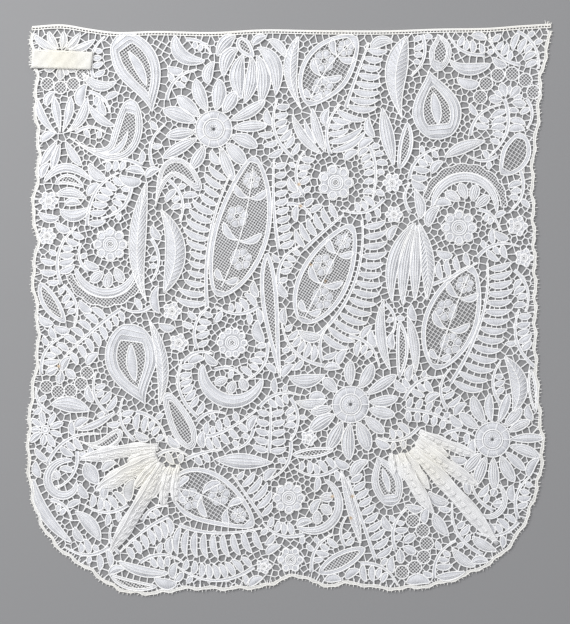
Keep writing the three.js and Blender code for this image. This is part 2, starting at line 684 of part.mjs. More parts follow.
// The cap of a blade is strips across it, and the cap of a disc is a fan about its middle.
function cap(shell, relief) {
  const { crest, heights } = relief;
  const last = crest.length;
  const corner = (i) => shell.corner(crest[i % last], heights[i % last]);
  if (relief.capped === "sheet") {
    shell.sheet(crest, [], heights[0], true);
    return;
  }
  if (relief.capped === "fan") {
    const middle = crest.reduce((sum, p) => sum.add(p), point(0, 0)).divideScalar(last);
    const hub = shell.corner(middle, heights[0]);
    for (let i = 0; i < last; i += 1) shell.face(corner(i), corner(i + 1), hub);
    return;
  }
  for (let i = 0; i < last / 2; i += 1) {
    shell.face(corner(i), corner(i + 1), corner(last - i - 1));
    shell.face(corner(i), corner(last - i - 1), corner(last - i));
  }
}

function panelGeometry(outline, reliefs, gaps) {
  const shell = new Shell();
  const feet = reliefs.map(({ foot }) => foot);
  shell.sheet(outline, [...gaps, ...feet], CLOTH, true);
  shell.sheet(outline, gaps, 0, false);
  shell.wall(outline, level(outline, 0), outline, level(outline, CLOTH));
  for (const gap of gaps) {
    const ring = [...anticlockwise(gap)].reverse();
    shell.wall(ring, level(ring, 0), ring, level(ring, CLOTH));
  }
  for (const relief of reliefs) {
    shell.wall(relief.foot, level(relief.foot, CLOTH), relief.crest, relief.heights);
    cap(shell, relief);
  }
  return shell.geometry();
}

// A flat strip or patch of even thickness.
function plateGeometry(ring, bottom, top) {
  const shell = new Shell();
  shell.sheet(ring, [], top, true);
  shell.sheet(ring, [], bottom, false);
  shell.wall(ring, level(ring, bottom), ring, level(ring, top));
  return shell.geometry();
}

// Building

const topCurve = new THREE.SplineCurve(TOP_EDGE.map(([x, y]) => point(x, y)));
const topPoints = (drop) => topCurve.getPoints(TOP_STEPS).map((p) => point(p.x, p.y - drop));

// The sides and hem run from the top left corner down, round and up to the top right one.
function hemPoints() {
  const anchors = OUTLINE.map(([x, y]) => new THREE.Vector3(x, y, 0));
  const curve = new THREE.CatmullRomCurve3(anchors, false, "centripetal");
  const count = Math.round(curve.getLength() / OUTLINE_STEP);
  const points = [];
  for (let i = 0; i <= count; i += 1) {
    const at = curve.getPointAt(i / count);
    const run = curve.getTangentAt(i / count);
    const depth = i % 2 === 0 ? 0 : SCALLOP;
    points.push(point(at.x - run.y * depth, at.y + run.x * depth));
  }
  return points.filter((p) => p.y < anchors.at(-1).y - CORNER_ROOM);
}

// A relief whose rings run anticlockwise, which its wall and cap are made for.
function turned(relief) {
  if (THREE.ShapeUtils.area(relief.foot) > 0) return relief;
  const back = (list) => [list[0], ...list.slice(1).reverse()];
  return new Relief(back(relief.foot), back(relief.crest), back(relief.heights), relief.capped);
}

const panelTop = topPoints(HEADING + SEAM).reverse();
const outline = [...hemPoints(), ...panelTop];
const plan = new Plan(outline);
const reliefs = [];
const tapeRing = TAPE_CORNERS.map(([x, y]) => point(x, y));
plan.take(tapeRing);
layPleats(plan, reliefs);
layLeaves(plan, reliefs);
layRadiants(plan, reliefs);
layRosettes(plan, reliefs);
layFans(plan, reliefs);
layScrolls(plan, reliefs);
layFerns(plan, reliefs);
const gaps = layGaps(plan, boxOf(outline));

function piece(name, geometry, material) {
  const mesh = new THREE.Mesh(geometry, material);
  mesh.name = name;
  return mesh;
}

const heading = [...topPoints(HEADING), ...topPoints(0).reverse()];
const cravatEnd = new THREE.Group();
cravatEnd.add(
  piece("lace_panel", panelGeometry(outline, reliefs.map(turned), gaps), lace),
  piece("heading_tape", plateGeometry(heading, 0, CLOTH), headingCotton),
  piece("tape_label", plateGeometry(tapeRing, CLOTH + SEAM, CLOTH + SEAM + TAPE_THICK), tapeCotton),
);

// The part stands on the middle of its own box.
const middle = new THREE.Box3().setFromObject(cravatEnd).getCenter(new THREE.Vector3());
cravatEnd.position.set(-middle.x, -middle.y, 0);
cravatEnd.updateMatrixWorld(true);

export default cravatEnd;
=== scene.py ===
"""Looks for one end of a lace cravat that lies flat on a pale table, face up.

The plan is in millimetres as the lace is seen from above, x to the right and y up its length.
Motifs are laid from the tables below. Each one shrinks until it clears its
neighbours, small leaves fill what is left, and brides are worked across the rest.
"""

import logging
import math
from dataclasses import dataclass, field
from enum import Enum
from functools import partial
from typing import Callable, Iterable, Sequence

import bpy
import numpy as np
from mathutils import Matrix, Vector
from mathutils.geometry import delaunay_2d_cdt

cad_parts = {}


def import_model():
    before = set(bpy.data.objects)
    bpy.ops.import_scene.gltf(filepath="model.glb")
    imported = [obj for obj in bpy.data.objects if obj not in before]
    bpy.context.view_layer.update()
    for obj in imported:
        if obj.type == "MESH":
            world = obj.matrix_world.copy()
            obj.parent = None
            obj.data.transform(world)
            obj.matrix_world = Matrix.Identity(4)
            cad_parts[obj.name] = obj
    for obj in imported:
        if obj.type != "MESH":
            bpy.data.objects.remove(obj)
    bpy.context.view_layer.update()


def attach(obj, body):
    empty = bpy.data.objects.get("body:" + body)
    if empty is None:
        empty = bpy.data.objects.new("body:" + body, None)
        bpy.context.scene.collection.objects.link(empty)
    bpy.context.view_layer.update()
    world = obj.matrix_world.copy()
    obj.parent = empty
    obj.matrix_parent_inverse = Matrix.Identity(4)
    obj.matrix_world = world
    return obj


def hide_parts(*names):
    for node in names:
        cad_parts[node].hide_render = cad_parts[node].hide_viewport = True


LOG = logging.getLogger("cravat")
MM = 0.001
PLAN_SHIFT = (0.029, -0.380)  # from the plan's zero to the part's origin
SEED = 11
CELL = 0.5  # side of the plan's small square cells
BODY = "root"

Points = np.ndarray
Spot = tuple[float, float]
Colour = tuple[float, float, float]
Socket = bpy.types.NodeSocket
Material = bpy.types.Material
Piece = bpy.types.Object


# Plan geometry


def unit(runs: Points) -> Points:
    """Return vectors scaled to length one."""
    return runs / np.maximum(np.linalg.norm(runs, axis=-1, keepdims=True), 1e-9)


def normals(path: Points) -> Points:
    """Return the left-hand unit normals along a path."""
    run = unit(np.gradient(path, axis=0))
    return np.stack([-run[:, 1], run[:, 0]], axis=1)


def on_circle(centre: Sequence[float], radius: Points | float, degrees: Points | float) -> Points:
    """Return points at a radius and angles round a centre."""
    angle = np.radians(degrees)
    return np.stack([centre[0] + radius * np.cos(angle), centre[1] + radius * np.sin(angle)], axis=-1)


def circle(centre: Sequence[float], radius: float, count: int) -> Points:
    """Return evenly spaced points of a circle."""
    return on_circle(centre, radius, np.arange(count) * 360 / count)


def strides(path: Points) -> Points:
    """Return the distances from each point of a path to the next."""
    return np.linalg.norm(np.diff(path, axis=0), axis=1)


def covered(path: Points) -> Points:
    """Return how far along a path each of its points is."""
    return np.concatenate([[0], np.cumsum(strides(path))])


def resample(path: Points, step: float, closed: bool = False) -> Points:
    """Space the points of a path evenly.

    Args:
        path: Points in order.
        step: Wanted distance between points.
        closed: Whether the last point joins the first.

    Returns:
        Evenly spaced points; a closed path doesn't repeat its first point.
    """
    line = np.vstack([path, path[:1]]) if closed else path
    along = covered(line)
    where = np.linspace(0, along[-1], max(round(along[-1] / step), 3 if closed else 1) + 1)
    if closed:
        where = where[:-1]
    return np.stack([np.interp(where, along, line[:, k]) for k in range(line.shape[1])], axis=1)


def catmull_rom(anchors: Sequence[Spot], steps: int = 14) -> Points:
    """Return a smooth path through anchors, drawn as a centripetal spline.

    Args:
        anchors: Points that the path passes.
        steps: Points drawn between two anchors.

    Returns:
        Points of the path.
    """
    p = np.array(anchors, float)
    p = np.vstack([2 * p[0] - p[1], p, 2 * p[-1] - p[-2]])
    path = []
    for four in zip(p, p[1:], p[2:], p[3:]):
        k = np.cumsum([0.0] + [np.linalg.norm(v - u) ** 0.5 for u, v in zip(four, four[1:])])
        t = np.linspace(k[1], k[2], steps, endpoint=False)[:, None]
        level: Sequence[Points] = four
        for spans in (((0, 1), (1, 2), (2, 3)), ((0, 2), (1, 3)), ((1, 2),)):
            pairs = zip(spans, level, level[1:])
            level = [((k[j] - t) * u + (t - k[i]) * v) / (k[j] - k[i]) for (i, j), u, v in pairs]
        path.append(level[0])
    return np.vstack([*path, p[-2:-1]])


def smoothstep(t: Points, low: float, high: float) -> Points:
    """Return a smooth rise from 0 to 1 between two limits."""
    x = np.clip((t - low) / (high - low), 0, 1)
    return x * x * (3 - 2 * x)


def lift(points: Points) -> Points:
    """Return how far the limp lace rests above the table at points of the plan."""
    x, y = points[:, 0], points[:, 1]
    wave = np.sin(x / 19 + 0.8) * np.sin(y / 23 - 0.4) + 0.6 * np.sin(x / 8.3 - y / 11.7)
    return 0.22 + 0.12 * wave


class Course:
    """The middle line of a motif, from its root at 0 to its tip at 1."""

    def at(self, t: Points) -> Points:
        """Return the points at shares of the course."""
        raise NotImplementedError

    def length(self) -> float:
        """Return the length of the course."""
        return float(strides(self.at(np.linspace(0, 1, 24))).sum())

    def shares(self, low: float, high: float, pitch: float, least: int = 3) -> Points:
        """Return even shares of the course, about a pitch apart."""
        return np.linspace(low, high, max(round(self.length() / pitch), least))

    def stand(self, share: float) -> tuple[Points, Points, Points]:
        """Return a point of the course, the direction on from it, and the one to its left."""
        at, ahead = self.at(np.array([share, share + 0.02]))
        along = unit(ahead - at)
        return at, along, np.array([-along[1], along[0]])


@dataclass(frozen=True)
class Bend(Course):
    """A simple curve that passes its middle point halfway."""

    root: Spot
    middle: Spot
    tip: Spot

    def at(self, t: Points) -> Points:
        """Return the points at shares of the curve."""
        root, middle, tip = (np.array(p, float) for p in (self.root, self.middle, self.tip))
        pull = 2 * middle - (root + tip) / 2
        s = np.asarray(t)[:, None]
        return (1 - s) ** 2 * root + 2 * s * (1 - s) * pull + s**2 * tip


@dataclass(frozen=True)
class Spiral(Course):
    """An arc in degrees that draws in by a share of its radius."""

    centre: Spot
    radius: float
    start: float
    sweep: float
    closing: float = 0.08

    def at(self, t: Points) -> Points:
        """Return the points at shares of the arc."""
        s = np.asarray(t)
        return on_circle(self.centre, self.radius * (1 - self.closing * s), self.start + self.sweep * s)


@dataclass(frozen=True)
class Stretch(Course):
    """A part of another course."""

    whole: Course
    start: float
    end: float

    def at(self, t: Points) -> Points:
        """Return the points at shares of the part."""
        return self.whole.at(self.start + (self.end - self.start) * np.asarray(t))


@dataclass(frozen=True)
class Blade:
    """A leaf shape round a course, fullest at one place; its tip may be blunter than its root."""

    course: Course
    width: float
    fullest: float = 0.5
    roundness: float = 0.85
    blunt: float = 0.0

    def half(self, t: Points) -> Points:
        """Return half the width at shares of the course."""
        power = math.log(0.5) / math.log(self.fullest)
        t = np.clip(t, 0, 1)
        return self.width / 2 * np.sin(np.pi * t**power).clip(0) ** (self.roundness * (1 - self.blunt * t))

    def half_at(self, share: float) -> float:
        """Return half the width at one share of the course."""
        return float(self.half(np.array([share]))[0])

    def beside(self, t: Points, share: float) -> Points:
        """Return a line along the leaf, a share of its half width to the left of the middle."""
        line = self.course.at(t)
        return line + share * self.half(t)[:, None] * normals(line)

    def edges(self, step: float, inset: float = 0.0) -> tuple[Points, Points]:
        """Return the left and right edge, from root to tip.

        Args:
            step: Distance between points, which are closer at the ends.
            inset: How far the edges are drawn in.

        Returns:
            Two paths of the same number of points.
        """
        length = self.course.length()
        even = np.linspace(0, 1, max(round(length / step), 5) + 1)
        tuck = min(1.4 * inset / length, 0.3)
        t = tuck + (1 - 2 * tuck) * (even - 0.06 * np.sin(2 * np.pi * even))
        line = self.course.at(t)
        out = np.maximum(self.half(t) - inset, 0.02)[:, None] * normals(line)
        return line + out, line - out

    def ring(self, step: float, inset: float = 0.0) -> Points:
        """Return the closed outline."""
        left, right = self.edges(step, inset)
        return np.vstack([left, right[-2:0:-1]])

    def shrunk(self, share: float, rooted: bool) -> "Blade":
        """Return a smaller copy about the same middle, or from the same root."""
        start = 0.0 if rooted else (1 - share) / 2
        part = Stretch(self.course, start, start + share)
        return Blade(part, self.width * (1 if rooted else share), self.fullest, self.roundness, self.blunt)


@dataclass(frozen=True)
class Stencil:
    """A small curved leaf that is tried in many places: its length, width and direction."""

    length: float
    width: float
    degrees: float

    def blade(self, at: Points) -> Blade:
        """Return the leaf about a point."""
        angle = math.radians(self.degrees)
        along = np.array([math.cos(angle), math.sin(angle)]) * self.length / 2
        off = 0.18 * np.array([-along[1], along[0]])
        return Blade(Bend(at - along - off, at + off, at + along - off), self.width, 0.42, 0.75)


# The motifs that are listed


class Fill(Enum):
    """How the inside of a motif is worked."""

    LEAF = "leaf"
    FEATHER = "feather"
    HORN = "horn"
    NET = "net"
    OPEN_NET = "open net"
    BOTEH = "boteh"


LEAF, FEATHER, HORN, NET, OPEN_NET, BOTEH = Fill


@dataclass(frozen=True)
class Leaf(Bend):
    """A leaf, its width and where along it that is reached."""

    width: float
    fill: Fill = LEAF
    fullest: float = 0.5


@dataclass(frozen=True)
class Flower:
    """A flower of long petals round an eye."""

    centre: Spot
    eye: float
    petals: int
    reach: float
    turn: float


@dataclass(frozen=True)
class Rosette:
    """A rosette of round lobes."""

    centre: Spot
    radius: float
    lobes: int


@dataclass(frozen=True)
class Fan:
    """A half-round fan of petals, edged with lobes of net."""

    centre: Spot
    ring: float
    lobe: float
    start: float
    end: float
    lobes: int


@dataclass(frozen=True)
class Scroll:
    """A C scroll with petals inside its curve and net scallops outside it."""

    centre: Spot
    radius: float
    start: float
    sweep: float
    band: float
    petals: int
    scallops: int


@dataclass(frozen=True)
class Fern(Bend):
    """A fern, with the length of its fronds to the left and right."""

    left: float
    right: float


OUTLINE = (
    (-154, 170), (-155, 158), (-152, 140), (-153, 122), (-151, 100), (-151.5, 80), (-154.5, 59),
    (-151.5, 42), (-154.5, 20), (-152, 0), (-151.5, -25), (-155, -52), (-157, -78), (-156, -103),
    (-150, -127), (-137, -145), (-121, -156), (-103, -168), (-84, -171), (-62, -168), (-34, -168),
    (-12, -166), (-2, -161.5), (11, -161.5), (18, -166), (38, -165), (58, -168), (86, -166), (108, -159),
    (127, -148), (141, -130), (149, -108), (153, -84), (151, -62), (148.5, -25), (148.5, 12), (147.5, 50),
    (147, 88), (150, 112), (152, 140), (156, 158), (157, 171),
)
TOP_EDGE = (
    (-154, 170), (-136, 171), (-120, 168.5), (-104, 166.5), (-80, 167), (-45, 166.5), (-15, 168),
    (20, 167.5), (60, 167.5), (90, 168.5), (120, 169), (140, 170.5), (157, 171.5),
)

LEAVES = (
    Leaf((-43, 8), (-28, 48), (-21, 92), 33, NET, 0.47), Leaf((8, -8), (22, 20), (38, 51), 30, NET, 0.45),
    Leaf((88, -36), (97, -7), (110, 26), 32, OPEN_NET),
    Leaf((-71, -107), (-48, -113), (-21, -130), 31, OPEN_NET, 0.42),
    Leaf((12, 122), (22, 143), (41, 163), 29, OPEN_NET, 0.52),
    Leaf((-5, -42), (-11, 0), (-13, 34), 10, NET, 0.62),
    Leaf((-82, 118), (-89, 143), (-104, 163), 26, BOTEH, 0.62),
    Leaf((-133, 104), (-104, 95), (-95, 126), 17, BOTEH, 0.74),
    Leaf((84, 143), (88, 122), (91, 102), 29, BOTEH, 0.6),
    Leaf((-86, -57), (-94, -34), (-93, -9), 31, BOTEH, 0.62),
    Leaf((-140, -67), (-112, -81), (-93, -55), 15, BOTEH, 0.72),
    Leaf((-58, -84), (-65, -68), (-74, -50), 14, BOTEH, 0.42),
    Leaf((53, -88), (58, -101), (62, -118), 18, BOTEH, 0.6),
    Leaf((89, 165), (91, 156), (88, 143), 13, BOTEH, 0.6),
    Leaf((-80, 61), (-70, 85), (-53, 71), 11, BOTEH, 0.62),
    Leaf((127, 81), (136, 93), (138, 106), 17, OPEN_NET), Leaf((-149, 16), (-143, 4), (-134, -8), 10, NET),
    Leaf((18, -158), (31, -151), (46, -143), 11, NET), Leaf((66, -41), (68, -23), (66, -7), 7, NET),
    Leaf((71, 112), (70, 98), (66, 84), 8, NET), Leaf((-107, -159), (-95, -165), (-79, -166), 6, NET),
    Leaf((148, -62), (146, -48), (145, -36), 5, NET), Leaf((-29, 163), (-27, 158), (-21, 151), 8, NET),
    Leaf((-77, 117), (-77, 141), (-76, 163), 8, FEATHER, 0.6),
    Leaf((8, 119), (1, 142), (6, 164), 8, FEATHER, 0.6),
    Leaf((68, 114), (64, 140), (71, 164), 13, FEATHER, 0.6),
    Leaf((-85, 4), (-91, 35), (-85, 77), 10, FEATHER, 0.6),
    Leaf((-75, 10), (-68, 36), (-77, 60), 12, FEATHER, 0.45), Leaf((75, 52), (63, 30), (62, 4), 7.5),
    Leaf((76, 52), (69.5, 28), (68.5, 2), 7), Leaf((77, 52), (76, 28), (75.5, 3), 7),
    Leaf((78, 52), (83, 29), (82.5, 5), 8, FEATHER), Leaf((78, 54), (79, 62), (75, 72), 6),
    Leaf((-78, -58), (-76, -32), (-84, -6), 7, FEATHER),
    Leaf((134, -62), (138, -45), (129, -28), 10, FEATHER),
    Leaf((43, -141), (38, -120), (31, -96), 6, FEATHER), Leaf((61, -37), (55, -15), (57, 6), 6),
    Leaf((76, -38), (75, -20), (71, -4), 6), Leaf((144, -22), (146, 0), (145, 22), 7),
    Leaf((-31, 164), (-38, 160), (-44, 150), 9), Leaf((-30, 156), (-37, 151), (-39, 139), 8),
    Leaf((-27, 153), (-31, 140), (-28, 126), 9), Leaf((-23, 152), (-22, 138), (-27, 123), 7.5),
    Leaf((-20, 153), (-15, 139), (-18, 121), 9), Leaf((-19, 157), (-9, 147), (-8, 128), 9),
    Leaf((-18, 162), (-6, 158), (0, 144), 9), Leaf((-16, 165), (-5, 166), (5, 158), 6),
    Leaf((20, 93), (9, 103), (2, 117), 5.5), Leaf((21, 94), (12, 106), (8, 121), 5.5),
    Leaf((22, 94), (17, 107), (14, 121), 5.5), Leaf((-138, 105), (-147, 114), (-151, 128), 5, LEAF, 0.6),
    Leaf((-137, 106), (-139, 117), (-141, 128), 5, LEAF, 0.6),
    Leaf((-136, 106), (-132, 117), (-131, 128), 5, LEAF, 0.6),
    Leaf((-134, 106), (-125, 114), (-121, 127), 6, LEAF, 0.6),
    Leaf((-139, 155), (-147, 159), (-153, 165), 4.5), Leaf((-138, 156), (-142, 161), (-144, 167), 4.5),
    Leaf((-136, 156), (-135, 161), (-135, 167), 4.5), Leaf((-134, 156), (-129, 160), (-125, 166), 4.5),
    Leaf((-132, 155), (-124, 157), (-116, 162), 4.5), Leaf((-139, 101), (-144, 93), (-149, 86), 5),
    Leaf((-137, 100), (-140, 91), (-142, 82), 5), Leaf((-134, 101), (-129, 92), (-124, 86), 5),
    Leaf((-68, 164), (-64, 152), (-50, 149), 8, HORN, 0.45),
    Leaf((96, 150), (106, 144), (121, 147), 7, HORN, 0.6), Leaf((106, 163), (114, 164), (122, 159), 8),
    Leaf((-124, 142), (-114, 134), (-103, 137), 6), Leaf((-120, 123), (-113, 114), (-104, 110), 5),
    Leaf((62, 127), (66, 118), (69, 112), 7), Leaf((56, 121), (59, 104), (63, 86), 8),
    Leaf((93, 91), (104, 97), (118, 101), 7), Leaf((-147, 76), (-134, 85), (-118, 77), 5, HORN),
    Leaf((-140, 75), (-132, 78), (-123, 73), 6, NET), Leaf((-140, 68), (-131, 70), (-121, 66), 6),
    Leaf((-137, 60), (-129, 56), (-119, 61), 7, HORN), Leaf((-98, 83), (-92, 84), (-86, 81), 5),
    Leaf((-143, -57), (-131, -57), (-119, -61), 9), Leaf((-128, -72), (-116, -69), (-104, -61), 4),
    Leaf((0, -40), (10, -43), (22, -39), 8), Leaf((4, -55), (13, -57), (23, -54), 6),
    Leaf((-44, -90), (-28, -91), (-10, -92), 9), Leaf((2, -87), (14, -86), (27, -84), 6, NET),
    Leaf((-122, -92), (-119, -98), (-114, -105), 9),
    Leaf((-153, -99), (-146.5, -122), (-127, -142), 7.5, HORN),
    Leaf((-128, -121), (-119, -129), (-113, -139), 8), Leaf((-102, -151), (-88, -157), (-72, -158), 6, HORN),
    Leaf((146, -92), (143.5, -116), (125, -142), 8.5, HORN), Leaf((110, -136), (116, -141), (125, -145), 6),
    Leaf((98, -143), (104, -150), (112, -154), 6), Leaf((88, -160), (96, -160), (106, -157), 5),
    Leaf((87, -122), (90, -129), (96, -136), 7),
)

FLOWERS = (
    Flower((-45, 108), 11, 14, 35, 6), Flower((37, -57), 11, 14, 33, 10), Flower((122, -78), 10.5, 16, 31, 4),
    Flower((-146, -72), 2.5, 9, 12, 20),
)

ROSETTES = (
    Rosette((-107, 39), 10.5, 8), Rosette((102, 49), 11, 8), Rosette((28, 76), 11, 7),
    Rosette((-34, -20), 10, 10), Rosette((0, -113), 10, 8), Rosette((63, 57), 5.5, 6),
    Rosette((62, 76), 6, 6), Rosette((137, 50), 6.5, 5), Rosette((141, 31), 6, 5), Rosette((-144, 65), 6, 6),
    Rosette((-145, 44), 6.5, 6), Rosette((-70, -1), 6, 5), Rosette((-66, -20), 6, 5),
    Rosette((12, -77), 5.5, 5), Rosette((1, -150), 8, 6), Rosette((-15, -154), 5, 5),
    Rosette((-103, -130), 8, 8), Rosette((-38, 143), 4, 5), Rosette((91, -136), 5, 5),
    Rosette((103, -151), 4, 5),
)

FANS = (
    Fan((-137, 148), 15, 3.9, 208, 332, 5), Fan((131, 125), 16.5, 4.2, -12, 172, 7),
    Fan((-136, -34), 15.5, 4, 205, 345, 6), Fan((66, -141), 16.5, 4.2, -84, 60, 6),
)

SCROLLS = (
    Scroll((-109, 28), 19, 190, 158, 5, 3, 7), Scroll((106, 60), 20, 176, -182, 5, 4, 8),
    Scroll((-33, -37), 19, 168, 178, 8, 3, 0), Scroll((14, -116), 17, 238, 185, 5, 3, 5),
    Scroll((-134, -103), 13, 70, 290, 5, 3, 0), Scroll((118, -115), 14, 110, -290, 5, 4, 0),
)

FERNS = (
    Fern((-49, 2), (-47.5, 43), (-35, 81), 21, 0), Fern((-6, 36), (-9, 62), (-9, 90), 0, 11),
    Fern((18, -15), (39, 15.5), (44, 54), 0, 21), Fern((97, -44), (115, -7), (119, 28), 0, 21),
    Fern((34, 121), (40.5, 140), (48, 160), 0, 20), Fern((25, 93), (23, 109), (31, 123), 0, 27),
    Fern((20, -31), (19, -19), (24, -9), 0, 22), Fern((-66, -129), (-44, -134), (-16, -131), 0, 19),
    Fern((-16, -125), (-25, -112), (-34, -99), 0, 18), Fern((9, 36), (20, 46), (33, 57), 15, 0),
    Fern((86, 15), (98, 20), (113, 28), 13, 0), Fern((-101, 0), (-117, -12), (-135, -29), 13, 13),
    Fern((-121, 50), (-116, 70), (-102, 82), 0, 12), Fern((-12, -86), (-11, -73), (-11, -58), 11, 11),
    Fern((-50, -76), (-37, -72), (-19, -60), 9, 10), Fern((52, -150), (43, -124), (35, -100), 0, 13),
    Fern((-72, -124), (-86, -132), (-101, -145), 13, 0), Fern((-62, -90), (-52, -86), (-40, -84), 7, 8),
    Fern((95, -60), (91, -47), (97, -35), 0, 24), Fern((-88, 86), (-100, 90), (-112, 88), 9, 9),
    Fern((48, 98), (52, 84), (50, 66), 9, 9), Fern((70, -60), (84, -62), (97, -68), 8, 8),
)

# Ferns that fill the widest spaces left: clearance in cells, and lengths of the stem
SPRAYS = ((9, (46, 36, 26)), (7, (36, 26, 18)))

# Small leaves that fill what is left: clearance in cells, lengths and width
FILLERS = ((7, (22, 18, 14), 6.4), (5, (17, 13, 10), 5.0))


# What is laid out so far


def grow(mask: Points, corners: bool, edge: bool = False) -> Points:
    """Grow a mask of cells by one step.

    Args:
        mask: Which cells are in it.
        corners: Whether it grows over the corners of cells too.
        edge: Whether it grows in from the plan's edge.

    Returns:
        The wider mask.
    """
    wide = np.pad(mask, 1, constant_values=edge)
    near = mask | wide[:-2, 1:-1] | wide[2:, 1:-1] | wide[1:-1, :-2] | wide[1:-1, 2:]
    if corners:
        near |= wide[:-2, :-2] | wide[:-2, 2:] | wide[2:, :-2] | wide[2:, 2:]
    return near


def spread(mask: Points, width: float) -> Points:
    """Grow a mask of cells by a width all round."""
    for step in range(round(width / CELL)):
        mask = grow(mask, step % 2 == 0)
    return mask


def cells_inside(ring: Points, x: Points, y: Points) -> Points:
    """Find the cells inside a ring.

    Args:
        ring: A closed outline.
        x: Middles of the columns of cells.
        y: Middles of the rows of cells.

    Returns:
        Which cells are inside.
    """
    mask = np.zeros((len(y), len(x)), bool)
    for a, b in zip(ring, np.roll(ring, -1, axis=0)):
        rows = np.nonzero((a[1] > y) != (b[1] > y))[0]
        if len(rows):
            cross = a[0] + (y[rows] - a[1]) * (b[0] - a[0]) / (b[1] - a[1])
            mask[rows] ^= x[None, :] < cross[:, None]
    return mask


class Plan:
    """The panel in small square cells, and which of them are taken or kept for the ground."""

    MARGIN = 60  # cells round the panel, more than half the longest stem that is tried
    GROUND_MARGIN = 12  # cells round a motif, more than the widest band of ground
    FARTHEST = 14  # most cells of clearance that are told apart
    LONGEST_SLIDE = 24  # most cells that a small leaf slides towards a motif

    def __init__(self, outline: Points) -> None:
        """Start with all cells inside the outline free."""
        margin = self.MARGIN * CELL
        self.low = outline.min(0) - margin
        width, height = np.ceil((outline.max(0) + margin - self.low) / CELL).astype(int)
        self.taken = np.ones((height, width), bool)
        self.ground = np.zeros((height, width), bool)
        window, mask = self.cells(outline)
        self.taken[window] &= ~mask

    def cells(self, ring: Points, margin: int = 3) -> tuple[tuple[slice, slice], Points]:
        """Find the cells inside a ring.

        Args:
            ring: A closed outline.
            margin: Spare cells round it.

        Returns:
            The window of cells round the ring, and which of them are inside.
        """
        shape = np.array(self.taken.shape[::-1])
        first = np.clip(np.floor((ring.min(0) - self.low) / CELL).astype(int) - margin, 0, shape - 1)
        last = np.clip(np.ceil((ring.max(0) - self.low) / CELL).astype(int) + margin, first + 1, shape)
        x, y = (self.low[k] + (np.arange(first[k], last[k]) + 0.5) * CELL for k in (0, 1))
        return (slice(first[1], last[1]), slice(first[0], last[0])), cells_inside(ring, x, y)

    def middle(self, row: int, column: int) -> Points:
        """Return the middle of a cell on the plan."""
        return self.low + (np.array([column, row]) + 0.5) * CELL

    def is_clear(self, ring: Points, allowed: float, gap: float = 0.0) -> bool:
        """Say whether a ring keeps a gap from what is taken, but for an allowed share of its cells."""
        window, mask = self.cells(ring)
        met = self.taken[window] & spread(mask, gap)
        return bool(mask.any()) and met.sum() <= allowed * mask.sum()

    def footprint(self, ring: Points, gap: float = 0.0) -> Points:
        """Return the cells that a ring about zero needs, as rows and columns from its middle cell."""
        half = int(np.abs(ring).max() / CELL) + round(gap / CELL) + 2
        place = np.arange(-half, half + 1) * CELL
        return np.argwhere(spread(cells_inside(ring, place, place), gap)) - half

    def has_room(self, row: int, column: int, footprint: Points) -> bool:
        """Say whether a footprint is free about a cell."""
        return not self.taken[footprint[:, 0] + row, footprint[:, 1] + column].any()

    def slide(self, row: int, column: int, footprint: Points, toward: Points) -> Points:
        """Return how far a footprint can slide one way before it meets something."""
        reached = np.zeros(2, int)
        for steps in range(1, self.LONGEST_SLIDE + 1):
            x, y = np.round(steps * toward).astype(int)
            if not self.has_room(row + y, column + x, footprint):
                break
            reached = np.array([x, y])
        return reached * CELL

    def take(self, ring: Points) -> None:
        """Mark the cells inside a ring as taken."""
        window, mask = self.cells(ring)
        self.taken[window] |= mask

    def keep_ground(self, ring: Points, width: float) -> None:
        """Keep a band about a ring for the ground, so no small leaf is laid on it."""
        window, mask = self.cells(ring, self.GROUND_MARGIN)
        self.ground[window] |= spread(mask, width)

    def clearance(self) -> Points:
        """Return how many cells away each cell is from what is taken."""
        reach = np.zeros(self.taken.shape, np.int16)
        grown = self.taken
        for step in range(self.FARTHEST):
            reach[~grown] += 1
            grown = grow(grown, step % 2 == 1, edge=True)
        return reach

    def is_free(self, points: Points) -> Points:
        """Say for each point whether its cell is free."""
        index = np.floor((points - self.low) / CELL).astype(int)
        index = np.clip(index, 0, np.array(self.taken.shape[::-1]) - 1)
        return ~self.taken[index[:, 1], index[:, 0]]


# Materials

# Middle and reach of the places that have aged to cream: the two gathers and pleated corners
AGED = ((-90, -98, 27), (84, -92, 24), (-70, -92, 14), (70, -86, 14), (-136, 151, 20))

# Small rust specks
RUST = ((26, -112), (38, -112), (37, -125), (6, 75), (7, 62), (13, 27), (22, 17), (-138, -34))
RUST_REACH = 1.7
RUST_TINT = (0.78, 0.55, 0.3)


def add_node(
    tree: bpy.types.NodeTree, kind: str, inputs: dict[str | int, object] | None = None, **settings: object
) -> bpy.types.Node:
    """Make a node with its settings, and feed its inputs.

    Args:
        tree: The tree that it stands in.
        kind: Its type.
        inputs: For each input, a value or the socket that it is joined to.
        settings: Settings of the node itself.

    Returns:
        The node.
    """
    node = tree.nodes.new(kind)
    for name, value in settings.items():
        setattr(node, name, value)
    for name, value in (inputs or {}).items():
        if isinstance(value, Socket):
            tree.links.new(value, node.inputs[name])
        else:
            node.inputs[name].default_value = value
    return node


